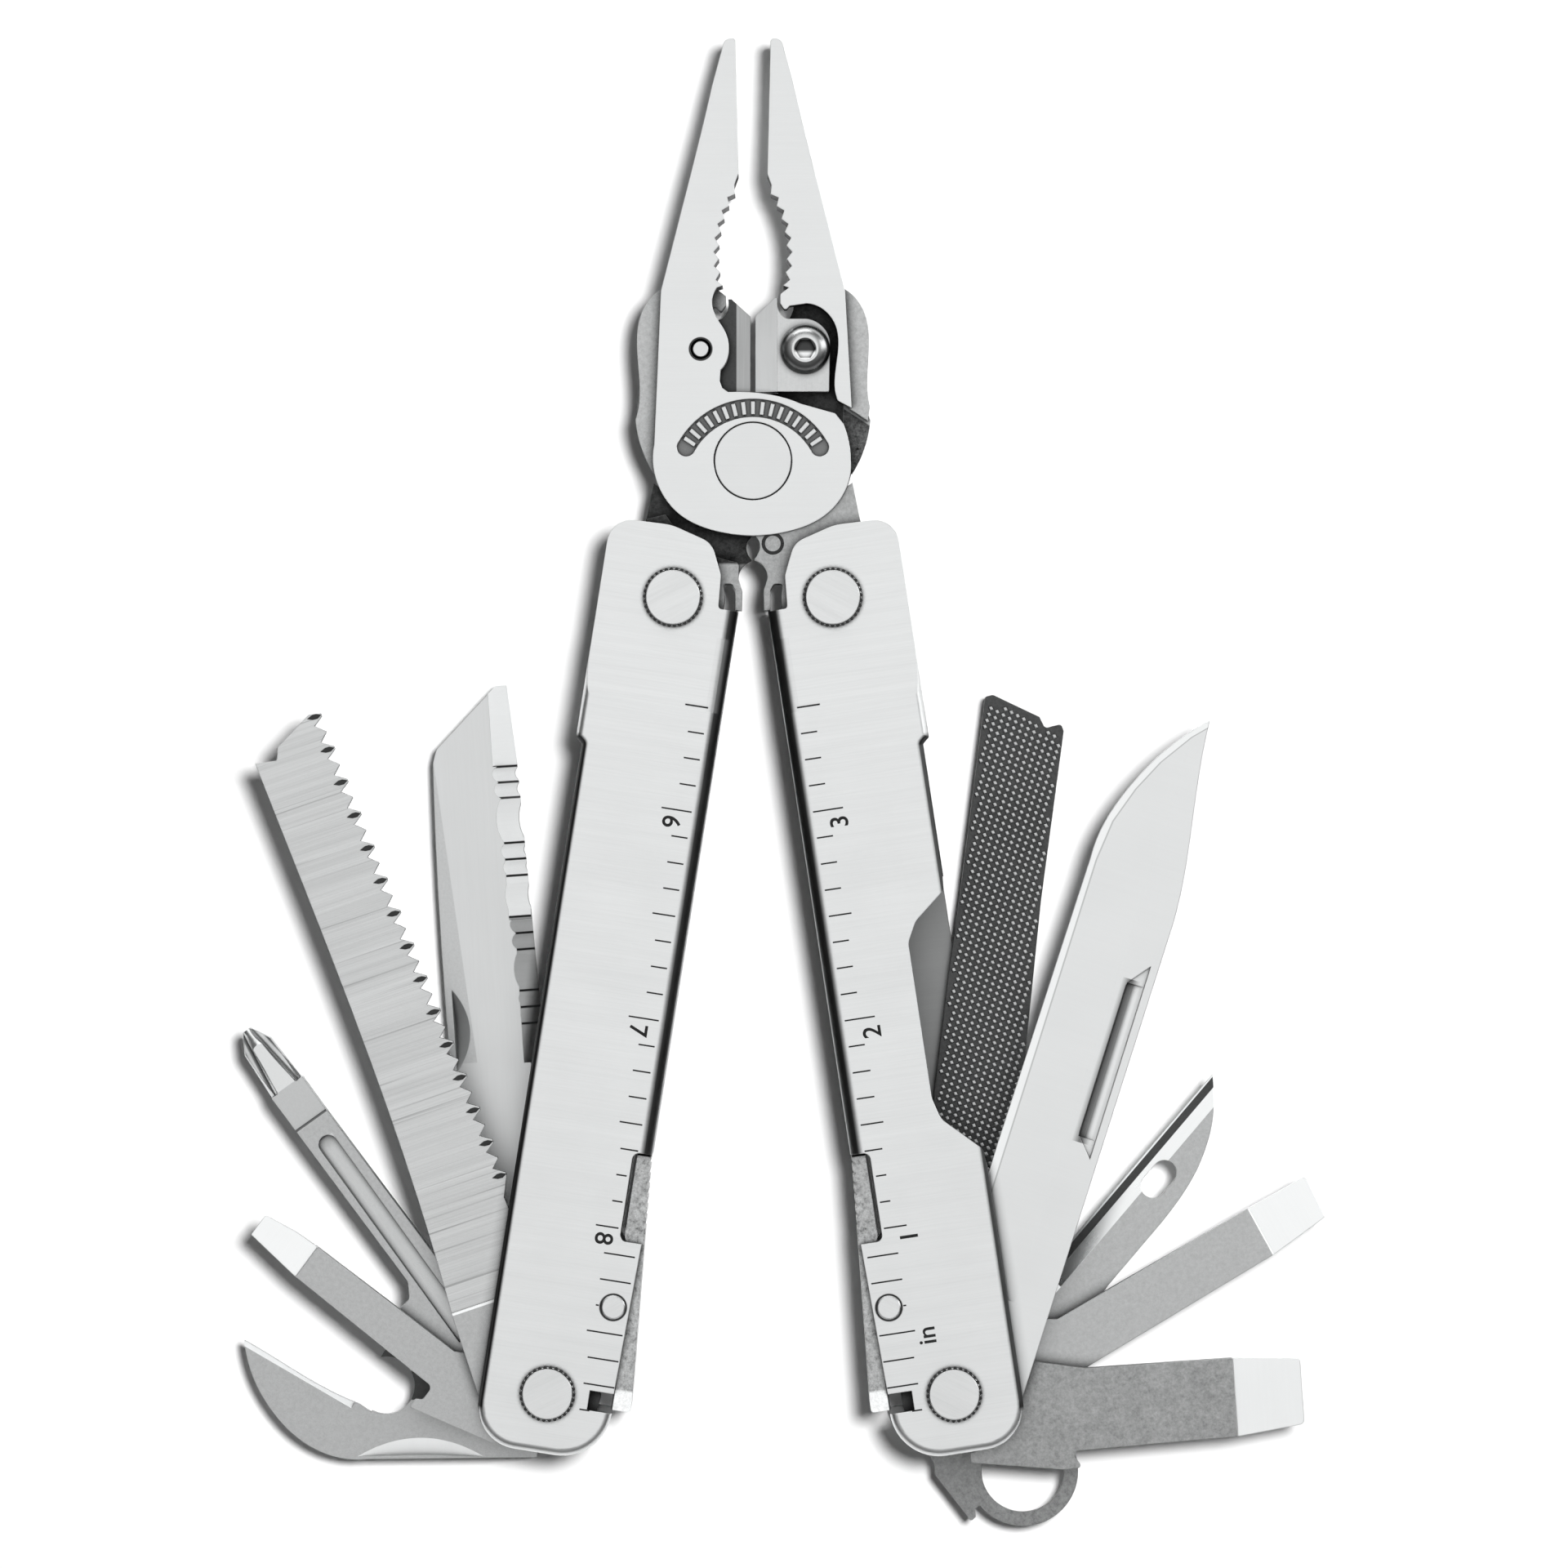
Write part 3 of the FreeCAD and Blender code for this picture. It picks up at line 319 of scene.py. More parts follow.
SATIN = dict(tone=0.75, rough=0.34, grain=0.085, angle=90.0, fine=4.0, length=0.09)
BLASTED = dict(tone=0.58, rough=0.44, speckle=0.20, grit_size=2.0, cloud=0.06)
GROUND = dict(tone=0.92, rough=0.32, grain=0.03, angle=90.0, fine=3.0)
HONED = dict(tone=0.90, rough=0.40, grain=0.04, angle=90.0, fine=3.0, matte=0.75)
CAST = dict(tone=0.52, rough=0.50, speckle=0.36, grit_size=1.7, cloud=0.10)
LINE = dict(tone=0.06, rough=0.5)
DARK = dict(tone=0.10, rough=0.5, speckle=0.03)


def rolled_rim(p):
    """Rounded lip that the tools swing out of: on the real tool it mirrors dark surroundings."""
    return p.all_of(p.above(p.y, 6.6), p.within(p.x, -3.0, 79.0, 0.6), p.below(p.up, 0.93, 0.08))


def folded_bend(p):
    """Round bend between face and web, dark for the same reason."""
    return p.all_of(p.below(p.y, -6.0), p.within(p.x, 3.0, 98.0, 2.0), p.within(p.up, 0.25, 0.94, 0.10))


def channel_inside(p):
    """Inner faces of the folded sheet, which steps inward at the hinge end; their darker tone is painted
    shade.
    """
    step = ramp(p.tree, p.x, 80.0, 84.0, 0.0, 1.6)
    return p.all_of(p.below(total(p.tree, p.depth, step), 6.85), p.below(p.x, 110.0))


def pin_outline(p):
    """Dark gap round the end of the rocker pin."""
    return p.all_of(p.ring(11.5, -6.2, 1.3, 1.68), p.above(p.depth, 8.0))


def rocker_tab(p):
    """Bright worn end of the rocker, which lifts off the tool tangs."""
    return p.all_of(p.below(p.x, 1.7, 0.3), p.below(p.y, -7.9))


def rocker_root(p):
    """Shaded part of the rocker beside its tab."""
    return p.all_of(p.below(p.x, 3.0, 0.3), p.above(p.y, -8.0))


ROCKER = dict(tone=0.50, rough=0.42, speckle=1.0, grit_size=1.3, cloud=0.2)
ROCKER_ZONES = [(rocker_tab, dict(HONED, tone=0.85, speckle=0.5, grit_size=1.6)), (rocker_root, DARK)]

for hand in HANDS:
    here = "handle_" + hand
    dress(here, steel("brushed_handle_" + hand, here, SIDE[hand], SATIN, [
        (channel_inside, dict(tone=0.34, rough=0.42, grain=0.03)),
        (rolled_rim, dict(tone=0.07, rough=0.35)),
        (folded_bend, dict(tone=0.10, rough=0.35)),
        (pin_outline, LINE),
    ], crevice=0.6))
    head = dict(tone=0.72, rough=0.34, grain=0.16, angle=-55.0 * SIDE[hand], fine=1.6, length=0.12)
    shank = (lambda p: p.wall(), dict(tone=0.30, rough=0.4))
    for part in ("hinge_rivet", "tool_axle", "rocker_pin"):
        dress(hand + "_" + part, steel("%s_%s_steel" % (hand, part), here, 1.0, head, [shank], crevice=0.0))
    dress(hand + "_lock_rocker",
          steel(hand + "_rocker_steel", here, SIDE[hand], ROCKER, ROCKER_ZONES, crevice=0.7))
    spring = dict(tone=0.45, rough=0.4, grain=0.05)
    dress(hand + "_lock_spring", steel(hand + "_spring_steel", here, 1.0, spring))
    washer = dict(tone=0.5, rough=0.35, grain=0.05)
    dress(hand + "_spacers", steel(hand + "_spacer_steel", here, 1.0, washer))


def cast_part(p):
    """Everything below the ground front and rear faces, short of the nose."""
    return p.all_of(p.below(p.depth, 4.9, 0.02), p.below(p.y, 34.5))


def shaded_tang(p):
    """Upper part of a jaw's tang, which the pivot disc puts in the shade."""
    return p.all_of(cast_part(p), p.above(p.y, -12.4, 0.3))


def rough_band(p):
    """Sand cast band along the outer side of the cutter."""
    return p.all_of(p.below(p.x, -10.95, 0.2), p.above(p.y, -2.0), p.below(p.depth, 3.3))


def below_shoulder(p):
    """Part of the side band under the slanted shoulder."""
    return p.below(maths(p.tree, "SUBTRACT", p.y, product(p.tree, p.x, 0.65)), 13.6, 0.1)


def shoulder_band(p):
    return p.all_of(rough_band(p), below_shoulder(p))


ARCH_DROP = 2.8  # how far the centre of the curved recess lies below the pivot
SCREW_X = -6.3
SCREW_Y = 13.5


def arch_floor(p):
    """Sunk floor of the curved recess over the pivot, darker as painted shade in the recess."""
    band = p.within(p.radius(0.0, -ARCH_DROP), 7.9, 10.5)
    return p.all_of(band, p.within(p.z, 4.4, 4.75), p.above(p.y, 0.0))


def grip_walls(p):
    """Walls of the toothed grip, painted near black as shade."""
    return p.all_of(p.below(p.up, 0.9), p.within(p.y, 16.5, 37.0), p.within(p.x, -7.0, 0.0))


def screw_end_outline(p):
    """Gap round the end of the cutter screw, flush with the jaw."""
    return p.all_of(p.ring(SCREW_X, SCREW_Y, 1.22, 1.44), p.flat())


JAW_FACE = dict(tone=0.74, rough=0.34, grain=0.03, angle=0.0, fine=4.0, length=0.12, speckle=0.01)
# The rear jaw's darker tang and shoulder tones are painted shade, as it lies behind the front jaw.
SHADED = {"jaw_front": CAST, "jaw_rear": dict(CAST, tone=0.08, speckle=0.12)}
SHOULDER = {"jaw_front": dict(CAST, tone=0.62), "jaw_rear": dict(CAST, tone=0.14)}
for jaw in ("jaw_front", "jaw_rear"):
    dress(jaw, steel(jaw + "_steel", jaw, 1.0, JAW_FACE, [
        (cast_part, CAST),
        (shaded_tang, SHADED[jaw]),
        (rough_band, dict(tone=0.62, rough=0.48, speckle=0.40, grit_size=1.6, cloud=0.12)),
        (shoulder_band, SHOULDER[jaw]),
        (arch_floor, dict(tone=0.30, rough=0.5, speckle=0.04)),
        (grip_walls, dict(tone=0.04, rough=0.5)),
        (screw_end_outline, LINE),
    ]))
PIVOT_FACE = dict(tone=0.73, rough=0.35, grain=0.03, angle=0.0)
dress("pivot_rivet", steel("pivot_steel", "jaw_front", 1.0, PIVOT_FACE))


def screw_shade(p):
    """Lower half of the domed screw head."""
    return p.all_of(p.below(p.y, 13.3, 2.4), p.below(p.up, 0.985, 0.02))


def socket_floor(p):
    """Inside of the screw's hexagon socket, painted near black as shade."""
    return p.all_of(p.below(p.radius(SCREW_X, SCREW_Y), 1.35, 0.1), p.below(p.z, -0.8))


def socket_glint(p):
    return p.all_of(socket_floor(p), p.below(p.y, 13.2, 0.4))


# The left insert's darker tones are painted shade, near black along its outer strip.
UNDER = dict(tone=0.42, rough=0.36, grain=0.16, angle=90.0, fine=2.4, length=0.05)
INSERT_ZONES = {
    "left": [(lambda p: p.above(p.x, -2.0), UNDER), (lambda p: p.below(p.x, -2.0), DARK)],
    "right": [(lambda p: p.tilted(), dict(HONED, tone=1.0, grain=0.14, fine=2.0, matte=0.9))],
}
for side_name, jaw in (("left", "jaw_front"), ("right", "jaw_rear")):
    plate = dict(tone=0.62, rough=0.36, grain=0.06, angle=90.0, speckle=0.10, grit_size=2.0)
    dress("cutter_insert_" + side_name,
          steel("insert_steel_" + side_name, jaw, 1.0, plate, INSERT_ZONES[side_name], crevice=0.8))
    head = dict(tone=0.66, rough=0.28, speckle=0.02)
    dress("cutter_screw_" + side_name, steel("screw_steel_" + side_name, jaw, 1.0, head, [
        (screw_shade, dict(tone=0.22, rough=0.3)),
        (socket_floor, dict(tone=0.06, rough=0.3)),
        (socket_glint, dict(tone=0.8, rough=0.3, matte=0.5)),
    ], crevice=0.6))


def scallop_ridges(p):
    """Thin dark lines where the small scallops of the serrated edge meet, in groups of three."""
    lines = []
    for first, pitch in ((75.7, 1.9), (66.4, 2.0), (57.4, 2.0), (48.4, 2.0)):
        for number in range(3):
            x = first - pitch * number
            lines.append(p.within(p.x, x - 0.16, x + 0.10, 0.1))
    return p.all_of(total(p.tree, *lines), p.tilted(), p.below(p.y, 3.0))


def belly_height(p):
    """Height above the knife's cutting edge."""
    tree = p.tree
    edge = total(tree, -3.9, ramp(tree, p.x, 66.5, 71.5, 0.0, 0.5), ramp(tree, p.x, 71.5, 76.0, 0.0, 1.45),
                 ramp(tree, p.x, 76.0, 80.0, 0.0, 1.9), ramp(tree, p.x, 80.0, 84.0, 0.0, 2.65),
                 ramp(tree, p.x, 84.0, 86.5, 0.0, 2.3))
    return maths(tree, "SUBTRACT", p.y, edge)


def inner_scallops(p):
    return p.all_of(p.tilted(), p.below(p.x, 57.3, 0.3), p.below(p.y, 3.0))


def outer_scallops(p):
    return p.all_of(p.tilted(), p.above(p.x, 57.3, 0.3), p.below(p.y, 3.0))


def serrated_spine(p):
    """Blade above the slanted grind line, outside the tang."""
    slanted = maths(p.tree, "SUBTRACT", p.y, product(p.tree, p.x, 0.08))
    return p.all_of(p.above(slanted, 2.98), p.above(p.x, 40.0))


def nail_groove(p, low, high, soft):
    return p.all_of(p.within(p.x, 33.4, 54.0), p.within(p.y, low, high, soft))


BRIGHT_LINE = dict(tone=0.95, rough=0.3)
SAW_BLADE = dict(tone=0.60, rough=0.34, grain=0.26, angle=90.0, fine=4.6, length=0.04, scratch=0.22)
ROUGH_CAST = dict(tone=0.44, rough=0.48, speckle=0.42, grit_size=1.6, cloud=0.10)

# Every tool: its base finish, then its zones.
TOOL_LOOKS = {
    "saw": (BLASTED, [
        (lambda p: p.above(p.x, 12.6), SAW_BLADE),
        (lambda p: p.within(p.x, 12.45, 12.75), BRIGHT_LINE),
        # Walls along the toothed edge are painted near black as shade.
        (lambda p: p.all_of(p.below(p.up, 0.9), p.below(p.y, 1.0), p.above(p.x, 13.0)), LINE),
    ]),
    "serrated_knife": (dict(tone=0.66, rough=0.34, grain=0.03, angle=0.0), [
        (serrated_spine, dict(tone=0.58, rough=0.38, speckle=0.1)),
        (outer_scallops, dict(HONED, tone=0.95)),
        (inner_scallops, dict(HONED, tone=0.42)),
        (scallop_ridges, dict(tone=0.12, rough=0.4)),
        (lambda p: p.all_of(p.tilted(), p.above(p.y, 6.0)), dict(tone=0.60, rough=0.4)),
    ]),
    "phillips_driver": (BLASTED, [
        (lambda p: p.above(p.x, 48.3), dict(tone=0.66, rough=0.26, speckle=0.03)),
        (lambda p: p.within(p.x, 43.2, 48.3), dict(tone=0.58, rough=0.38, speckle=0.06)),
        (lambda p: p.all_of(p.within(p.x, 43.1, 43.4), p.flat()), dict(tone=0.16, rough=0.4)),
        (lambda p: p.all_of(p.within(p.x, 11.0, 40.6), p.within(p.y, 3.15, 5.25), p.flat()),
         dict(tone=0.72, rough=0.38, speckle=0.08)),
    ]),
    "small_driver": (BLASTED, [(lambda p: p.above(p.x, 32.7), GROUND)]),
    "can_opener": (BLASTED, [
        (lambda p: p.tilted(), HONED),
        # Both dark zones are painted shadow where the small driver lies over the plate.
        (lambda p: p.all_of(p.within(p.x, 16.0, 22.0), p.below(p.y, -3.2)), DARK),
        (lambda p: p.all_of(p.within(p.x, 13.8, 16.7), p.within(p.y, -3.3, 1.3)), DARK),
    ]),
    "file": (dict(tone=0.09, rough=0.45, speckle=0.06), []),
    "knife": (dict(tone=0.74, rough=0.33, grain=0.02, angle=90.0), [
        # The upper part of the nail groove is painted dark as shade.
        (lambda p: nail_groove(p, 4.7, 6.0, 0.9), dict(tone=0.22, rough=0.4)),
        (lambda p: p.all_of(nail_groove(p, 6.0, 7.1, 0.5), p.tilted()), dict(HONED, tone=0.8)),
        (lambda p: p.below(belly_height(p), 0.85, 0.1), dict(tone=0.84, rough=0.3)),
        (lambda p: p.within(belly_height(p), 0.80, 0.98), dict(tone=0.50, rough=0.3)),
        (lambda p: p.all_of(p.within(p.x, 12.4, 12.75), p.within(p.y, -5.3, -3.0)), BRIGHT_LINE),
    ]),
    "awl": (BLASTED, [
        (lambda p: p.below(p.y, 1.85), dict(tone=0.92, rough=0.28, grain=0.03, angle=0.0)),
        (lambda p: p.within(p.y, -0.60, 0.30), DARK),
    ]),
    "medium_driver": (BLASTED, [(lambda p: p.above(p.x, 41.8), GROUND)]),
    "large_driver": (ROUGH_CAST, [(lambda p: p.above(p.x, 33.8), GROUND)]),
    "lanyard_ring": (dict(ROUGH_CAST, tone=0.36, speckle=0.36, cloud=0.08), []),
}


def near_axle(p):
    """Tang disc deep inside the handle, where no light comes."""
    return p.below(p.radius(0.0, 0.0), 7.6, 0.3)


for name, (base, zones) in TOOL_LOOKS.items():
    dress(name, steel(name + "_steel", name, TOOL_SIDE[name], base, zones + [(near_axle, DARK)]))

ETCHED = dict(tone=0.05, rough=0.6, speckle=0.02)
INK = {}
for hand in HANDS:
    INK[hand] = steel("etched_" + hand, "handle_" + hand, SIDE[hand], ETCHED, edge=0.0, crevice=0.0)


# ------------------------------------------------------------------ added pieces

def piece(name, space_name, body, material, build):
    """A mesh built in a piece's own millimetre axes and carried by its body."""
    shape = bmesh.new()
    build(shape)
    bmesh.ops.recalc_face_normals(shape, faces=shape.faces)
    bmesh.ops.transform(shape, matrix=MATRICES[space_name] @ Matrix.Scale(MM, 4), verts=shape.verts)
    mesh = bpy.data.meshes.new(name)
    shape.to_mesh(mesh)
    shape.free()
    mesh.materials.append(material)
    thing = bpy.data.objects.new(name, mesh)
    scene.collection.objects.link(thing)
    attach(thing, body)


def layer_of(name):
    """Middle height and half thickness of a tool in its own axes, in millimetres."""
    inverse = MATRICES[name].inverted()
    heights = [(inverse @ vertex.co).z / MM for vertex in nodes[name].data.vertices]
    return (max(heights) + min(heights)) / 2.0, (max(heights) - min(heights)) / 2.0


def prism(shape, corners, low, high, top_scale=1.0):
    """Closed prism on a flat outline; the top can be drawn in about the outline's middle."""
    mid_x = sum(x for x, y in corners) / len(corners)
    mid_y = sum(y for x, y in corners) / len(corners)
    base = [shape.verts.new((x, y, low)) for x, y in corners]
    top = [shape.verts.new((mid_x + (x - mid_x) * top_scale, mid_y + (y - mid_y) * top_scale, high))
           for x, y in corners]
    count = len(corners)
    shape.faces.new(base[::-1])
    shape.faces.new(top)
    for index in range(count):
        after = (index + 1) % count
        shape.faces.new((base[index], base[after], top[after], top[index]))


def bar(shape, x, y_low, y_high, width, low, high, side=1.0):
    half = width / 2.0
    prism(shape, [(x - half, side * y_low), (x + half, side * y_low), (x + half, side * y_high),
                  (x - half, side * y_high)], low, high)


EIGHTH = 25.4 / 8.0
FIRST_INCH_X = 21.0  # station of the inch mark nearest the axle
FACE = 8.2  # height of the handle's flat face
TICK_WIDTH = 0.17
SUNK = 0.05
PROUD = 0.015
SHEET_EDGE = -7.85
BEND_EDGE = -6.25
ROCKER_EDGE = -5.35  # the sheet is cut out for the rocker's pad
PIN_TICK = -3
FIRST_TICK = -7
LAST_TICK = 20
LAST_TICK_DROP = 0.06  # the face starts to step inward here


def tick_top(number):
    """How far a tick reaches over the face: inches, half inches, eighths."""
    if number % 8 == 0:
        return -2.6
    if number % 4 == 0:
        return -3.5
    return -4.3 if number > 6 else -4.1


def tick_bottom(number):
    """A tick starts at the edge of what is left of the sheet there."""
    if number == FIRST_TICK:
        return -5.3
    if number == PIN_TICK:
        return -4.45
    if number < 0:
        return SHEET_EDGE
    if number <= 2:
        return ROCKER_EDGE
    return BEND_EDGE


def ruler(hand):
    def build(shape):
        for number in range(FIRST_TICK, LAST_TICK + 1):
            level = FACE - LAST_TICK_DROP if number == LAST_TICK else FACE
            bar(shape, FIRST_INCH_X + number * EIGHTH, tick_bottom(number), tick_top(number), TICK_WIDTH,
                level - SUNK, level + PROUD, SIDE[hand])
    piece("ruler_ticks_" + hand, "handle_" + hand, hand + "_handle", INK[hand], build)


NUMERAL_SIZE = 3.1


def numeral(hand, text, x, y):
    """One ruler number as flat lettering, its top toward the web."""
    curve = bpy.data.curves.new("number", "FONT")
    curve.body = text
    curve.size = NUMERAL_SIZE
    curve.align_x = "CENTER"
    curve.align_y = "CENTER"
    curve.extrude = 0.03
    curve.offset = 0.008 * NUMERAL_SIZE
    curve.resolution_u = 6
    holder = bpy.data.objects.new("number", curve)
    scene.collection.objects.link(holder)
    bpy.context.view_layer.update()
    mesh = bpy.data.meshes.new_from_object(holder.evaluated_get(bpy.context.evaluated_depsgraph_get()))
    bpy.data.objects.remove(holder)
    turn = 180.0 if hand == "left" else 0.0
    spot = Matrix.Translation((x, SIDE[hand] * y, FACE - PROUD))
    local = spot @ Matrix.Rotation(math.radians(turn), 4, "Z")
    label = "number_%s_%s" % (hand, text)
    mesh.transform(MATRICES["handle_" + hand] @ Matrix.Scale(MM, 4) @ local)
    mesh.materials.clear()
    mesh.materials.append(INK[hand])
    mesh.name = label
    thing = bpy.data.objects.new(label, mesh)
    scene.collection.objects.link(thing)
    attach(thing, hand + "_handle")


def knurl(hand, station, radius, count, low, high):
    """Toothed rim round a rivet head, on both sides of the handle."""
    centre = 0.0 if station == "axle" else (HINGE[hand] - AXLE[hand]).length / MM
    corners = count * 4
    crest = radius + 0.16
    root = radius - 0.08
    hole = radius - 0.17

    def ring(shape, reaches, height):
        points = []
        for number in range(corners):
            angle = 2.0 * math.pi * number / corners
            reach = reaches[number % 4]
            across = centre + reach * math.cos(angle)
            points.append(shape.verts.new((across, reach * math.sin(angle), height)))
        return points

    def build(shape):
        for sign in (1.0, -1.0):
            low_out = ring(shape, (crest, crest, root, root), sign * low)
            low_in = ring(shape, (hole,) * 4, sign * low)
            high_out = ring(shape, (crest, crest, root, root), sign * high)
            high_in = ring(shape, (hole,) * 4, sign * high)
            for number in range(corners):
                after = (number + 1) % corners
                shape.faces.new((low_out[number], low_out[after], high_out[after], high_out[number]))
                shape.faces.new((low_in[after], low_in[number], high_in[number], high_in[after]))
                shape.faces.new((high_out[number], high_out[after], high_in[after], high_in[number]))
                shape.faces.new((low_out[after], low_out[number], low_in[number], low_in[after]))
    label = "knurl_%s_%s" % (hand, station)
    material = steel(label, "handle_" + hand, 1.0, LINE, edge=0.0, crevice=0.0)
    piece(label, "handle_" + hand, hand + "_handle", material, build)


for hand in HANDS:
    ruler(hand)
    knurl(hand, "axle", 3.2, 30, 8.15, 9.12)
    knurl(hand, "hinge", 3.45, 34, 6.55, 7.52)
numeral("left", "6", 70.3, -3.9)
numeral("left", "7", 44.9, -3.9)
numeral("left", "8", 19.5, -3.7)
numeral("right", "3", 70.2, -3.2)
numeral("right", "2", 44.6, -3.1)
numeral("right", "1", 19.6, -2.4)
numeral("right", "in", 7.5, -2.1)


def arch_ribs(jaw, body):
    """Plain radial ribs standing in the curved recess over the pivot."""
    inner = 8.35
    outer = 10.05
    half = math.radians(1.7)
    sunk_level = 4.6
    top_level = 4.97

    def build(shape):
        for number in range(17):
            angle = math.radians(34.0 + 7.0 * number)
            corners = []
            for reach, turn in ((inner, -half), (outer, -half * 0.9), (outer, half * 0.9), (inner, half)):
                corners.append((reach * math.cos(angle + turn), reach * math.sin(angle + turn) - ARCH_DROP))
            prism(shape, corners, sunk_level, top_level, top_scale=0.9)
    look = dict(tone=0.70, rough=0.36, speckle=0.02)
    material = steel("arch_rib_steel_" + jaw, jaw, 1.0, look)
    piece("arch_ribs_" + jaw, jaw, body, material, build)


arch_ribs("jaw_front", "front_jaw")
arch_ribs("jaw_rear", "rear_jaw")


FILE_LOWER = [(20.0, 5.3), (36.0, 5.8), (50.0, 5.55), (60.0, 5.2), (84.0, 4.6)]
FILE_UPPER = [(20.0, 5.2), (43.0, 4.65), (60.0, 4.65), (80.0, 5.2), (84.0, 5.2)]


def width_at(outline, x):
    """Half width of the file at x, between the outline's few (x, half width) points."""
    for (x_a, width_a), (x_b, width_b) in zip(outline, outline[1:]):
        if x_a <= x <= x_b:
            return width_a + (width_b - width_a) * (x - x_a) / (x_b - x_a)
    return 0.0


def on_file(x, y):
    """Whether a tooth fits on the file's face, clear of its edges and its notched end."""
    rim = 0.35
    if not 20.5 < x < 83.6:
        return False
    if not -width_at(FILE_LOWER, x) + rim < y < width_at(FILE_UPPER, x) - rim:
        return False
    if y > 2.0 and x > 80.4:
        return False
    return x <= 83.4 - 0.25 * (y + 4.6)


def file_teeth():
    """Double cut teeth: a lattice of small slanted diamonds on both faces."""
    along_cut = Vector((0.335, 0.781))
    across_cut = Vector((0.761, -0.173))
    middle, half_thickness = layer_of("file")

    def diamond(shape, spot, steps, height):
        corners = [spot + along_cut * a + across_cut * b for a, b in steps]
        return [shape.verts.new((corner.x, corner.y, height)) for corner in corners]

    def tooth(shape, spot, sign, lift):
        base = diamond(shape, spot, ((0.46, 0.0), (0.0, 0.46), (-0.46, 0.0), (0.0, -0.46)),
                       middle + sign * (half_thickness - 0.01))
        crown = diamond(shape, spot, ((0.33, 0.10), (0.0, 0.38), (-0.33, 0.10), (0.0, -0.18)),
                        middle + sign * (half_thickness + lift))
        shape.faces.new(base)
        shape.faces.new(crown)
        for index in range(4):
            after = (index + 1) % 4
            shape.faces.new((base[index], base[after], crown[after], crown[index]))

    def build(shape):
        for i in range(-80, 80):
            for j in range(-10, 125):
                spot = Vector((20.0, 0.0)) + along_cut * i + across_cut * j
                if on_file(spot.x, -spot.y):
                    tooth(shape, spot, 1.0, 0.13)
                    tooth(shape, spot, -1.0, 0.035)
    look = dict(tone=0.50, rough=0.30, speckle=0.05)
    material = steel("file_tooth_steel", "file", TOOL_SIDE["file"], look, edge=0.0, crevice=0.0)
    piece("file_teeth", "file", "file", material, build)


file_teeth()


def saw_gullet_shadows():
    """Dark leaf shaped pieces at every long tooth of the saw: painted shadow of its deep gullet."""
    middle, half_thickness = layer_of("saw")
    face = half_thickness - 0.12
    pitch = 4.25
    leaf = [(0.0, 0.0), (0.30, 0.55), (0.32, 1.05), (0.05, 1.75), (-0.25, 1.15), (-0.30, 0.55)]

    def build(shape):
        for number in range(15):
            tooth = 86.1 - number * pitch
            tip = -0.4 - (86.4 - tooth) * 0.056
            outline = [(tooth + x, tip + y) for x, y in leaf]
            prism(shape, outline, middle + face - 0.1, middle + face + 0.05)
            prism(shape, outline, middle - face - 0.05, middle - face + 0.1)
    material = steel("tooth_mark_steel", "saw", TOOL_SIDE["saw"], LINE, edge=0.0, crevice=0.0)
    piece("saw_gullet_shadows", "saw", "saw", material, build)


saw_gullet_shadows()


def tang_ring():
    """Small round stamp on the front jaw's tang."""
    centre_x = 2.4
    centre_y = -9.95
    inner = 0.95
    outer = 1.35
    count = 32
    tang_face = 4.7

    def build(shape):
        for number in range(count):
            a = 2.0 * math.pi * number / count
            b = 2.0 * math.pi * (number + 1) / count
            corners = [(centre_x + r * math.cos(t), centre_y + r * math.sin(t)) for r, t in
                       ((inner, a), (outer, a), (outer, b), (inner, b))]
            prism(shape, corners, tang_face - 0.1, tang_face + 0.015)
        bmesh.ops.remove_doubles(shape, verts=shape.verts, dist=1e-5)
    material = steel("stamp_steel", "jaw_front", 1.0, LINE, edge=0.0, crevice=0.0)
    piece("tang_ring", "jaw_front", "front_jaw", material, build)


tang_ring()


# ------------------------------------------------------------------ studio

def floor_material():
    material = bpy.data.materials.new("floor_white")
    material.use_nodes = True
    shader = material.node_tree.nodes["Principled BSDF"]
    shader.inputs["Base Color"].default_value = (0.9, 0.9, 0.9, 1.0)
    shader.inputs["Roughness"].default_value = 0.8
    shader.inputs["Specular IOR Level"].default_value = 0.1
    return material


FLOOR_REACH = 3.0
FLOOR_GAP = 0.0001
floor_mesh = bpy.data.meshes.new("floor")
floor_corners = [(x * FLOOR_REACH, y * FLOOR_REACH, 0.0) for x, y in ((-1, -1), (1, -1), (1, 1), (-1, 1))]
floor_mesh.from_pydata(floor_corners, [], [(0, 1, 2, 3)])
floor = bpy.data.objects.new("floor", floor_mesh)
floor.location = (0, 0, CAD_BOX[0].z - FLOOR_GAP)
floor_mesh.materials.append(floor_material())
scene.collection.objects.link(floor)

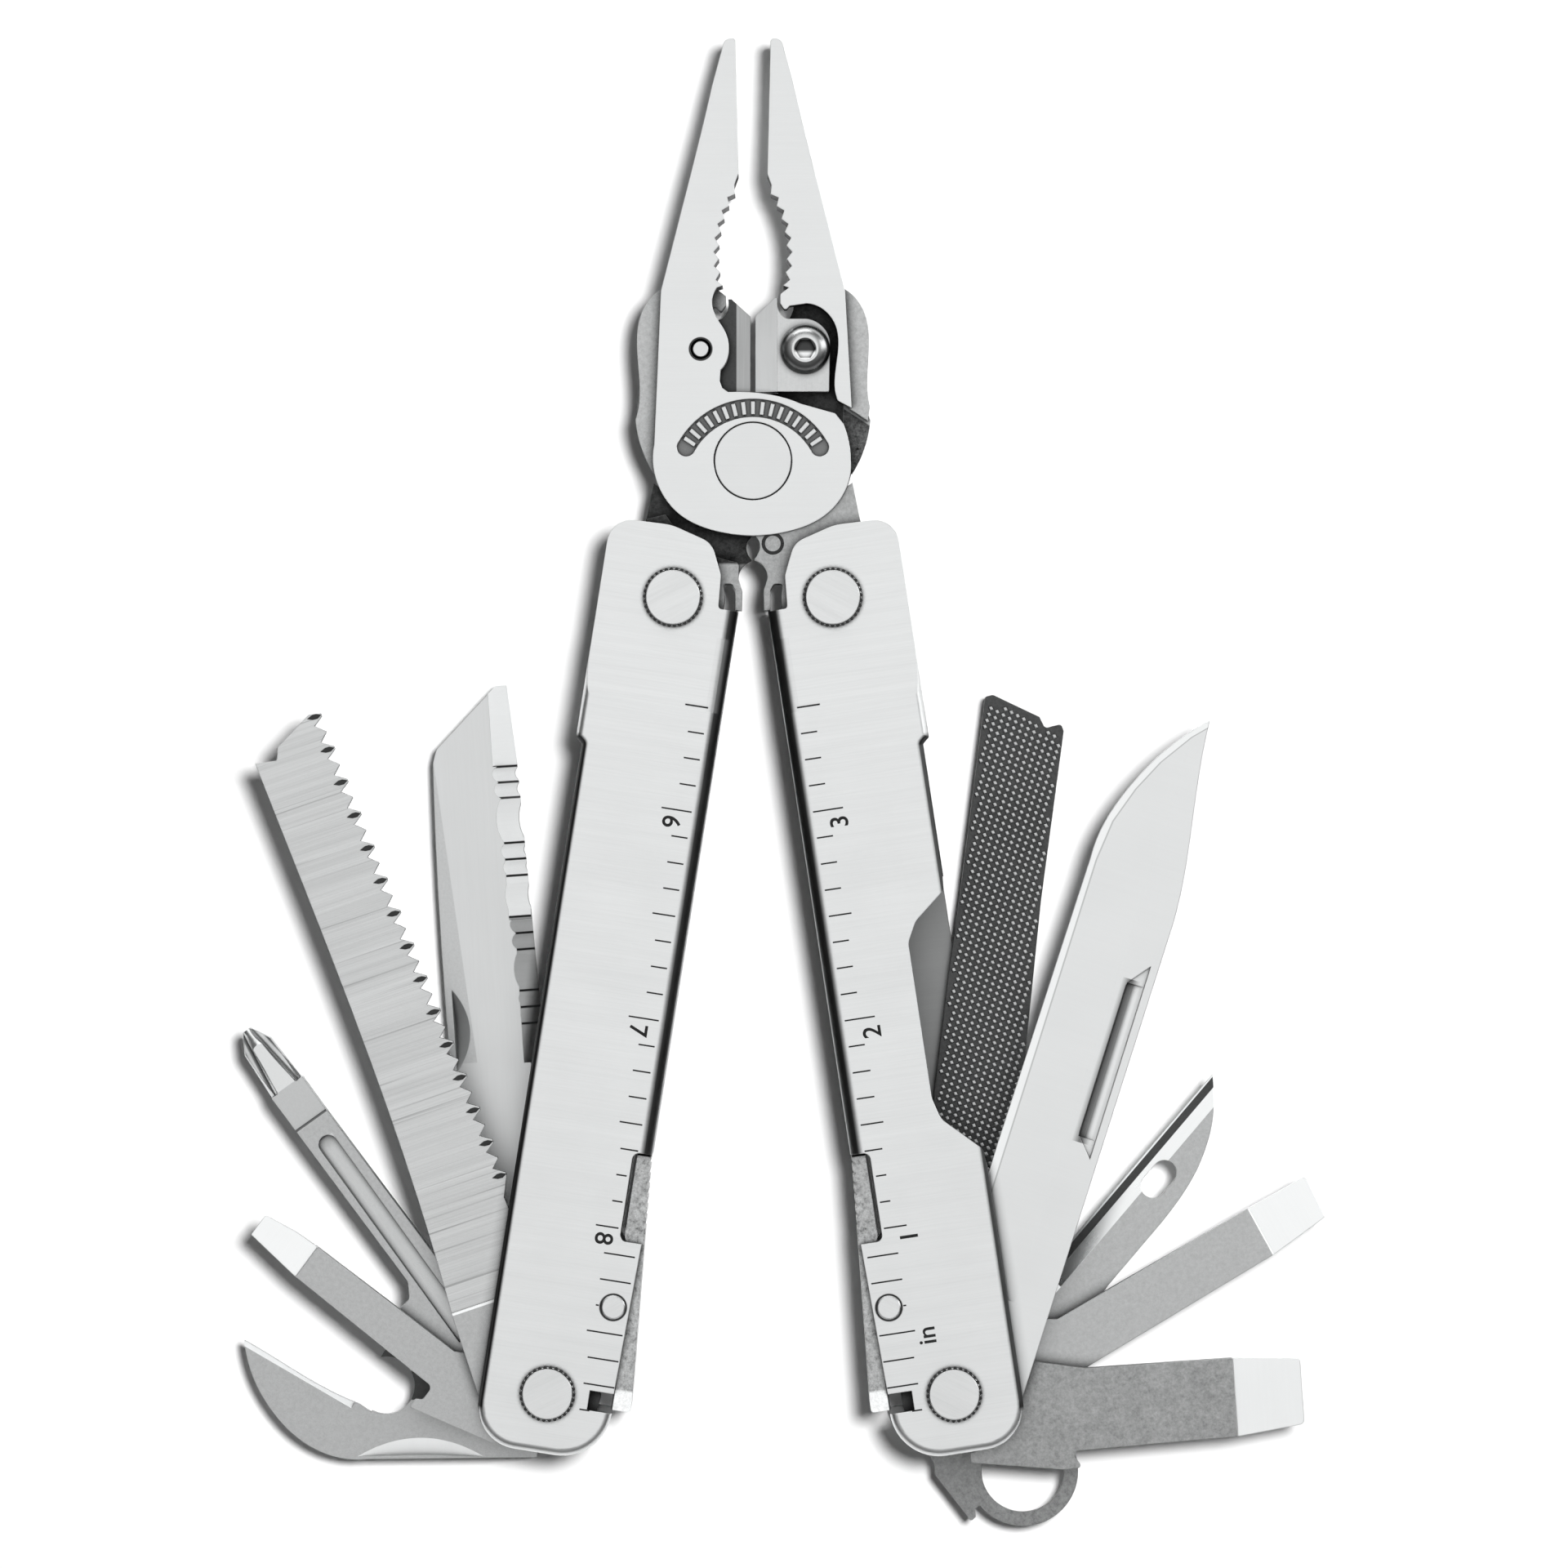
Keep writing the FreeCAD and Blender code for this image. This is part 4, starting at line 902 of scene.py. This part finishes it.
# A soft ceiling and low walls in front and behind; the sides stay dark, so folded edges read.
world = bpy.data.worlds.new("studio")
scene.world = world
world.use_nodes = True
tree = world.node_tree
background = tree.nodes["Background"]
where = add(tree, "ShaderNodeTexCoord")
split = add(tree, "ShaderNodeSeparateXYZ")
plug(tree, where.outputs["Generated"], split.inputs[0])
high_sky = ramp(tree, split.outputs["Z"], 0.42, 0.80, 0.04, 0.30)
low_wall = ramp(tree, split.outputs["Z"], 0.28, 0.40, 0.75, 0.0)
front_and_back = ramp(tree, maths(tree, "ABSOLUTE", split.outputs["Y"]), 0.42, 0.64)
horizon = product(tree, low_wall, front_and_back)
sky = total(tree, high_sky, horizon)
ray = add(tree, "ShaderNodeLightPath")
fill = maths(tree, "SUBTRACT", 1.0, product(tree, ray.outputs["Is Diffuse Ray"], 0.7))
plug(tree, product(tree, sky, fill), background.inputs["Strength"])
background.inputs["Color"].default_value = (1.0, 1.0, 1.0, 1.0)

MIDDLE = Vector((0.004, -0.039, 0.0))


def lamp(name, offset, size, power, glossy=True, diffuse=True, size_y=None):
    data = bpy.data.lights.new(name, "AREA")
    data.shape = "DISK" if size_y is None else "RECTANGLE"
    data.size = size
    if size_y is not None:
        data.size_y = size_y
    data.energy = power
    light = bpy.data.objects.new(name, data)
    scene.collection.objects.link(light)
    light.location = MIDDLE + Vector(offset)
    light.rotation_mode = "QUATERNION"
    light.rotation_quaternion = Vector(offset).to_track_quat("Z", "Y")
    light.visible_glossy = glossy
    light.visible_diffuse = diffuse
    light.visible_camera = False


lamp("shadow_key", (0.19, 0.13, 1.5), 0.22, 26.0, glossy=False)
lamp("overhead", (0.0, 0.24, 1.2), 1.35, 4.0, diffuse=False)
lamp("right_strip", (1.1, 0.35, 0.45), 0.5, 4.0, diffuse=False, size_y=1.2)
lamp("top_strip", (-0.2, 1.2, 0.55), 1.2, 3.0, diffuse=False, size_y=0.4)

# A long lens straight above, so that the layers of the tool show almost no parallax.
FRAME_WIDTH = 0.1893
FRAME_MIDDLE = Vector((0.00375, -0.03895, -0.0018))
camera_data = bpy.data.cameras.new("camera")
camera_data.lens = 250.0
camera_data.sensor_width = 36.0
DISTANCE = FRAME_WIDTH * camera_data.lens / camera_data.sensor_width
camera = bpy.data.objects.new("camera", camera_data)
scene.collection.objects.link(camera)
camera.location = FRAME_MIDDLE + Vector((0.0, 0.0, DISTANCE))
camera_data.clip_start = 0.01
camera_data.clip_end = 20.0
scene.camera = camera
scene.view_settings.view_transform = "Standard"
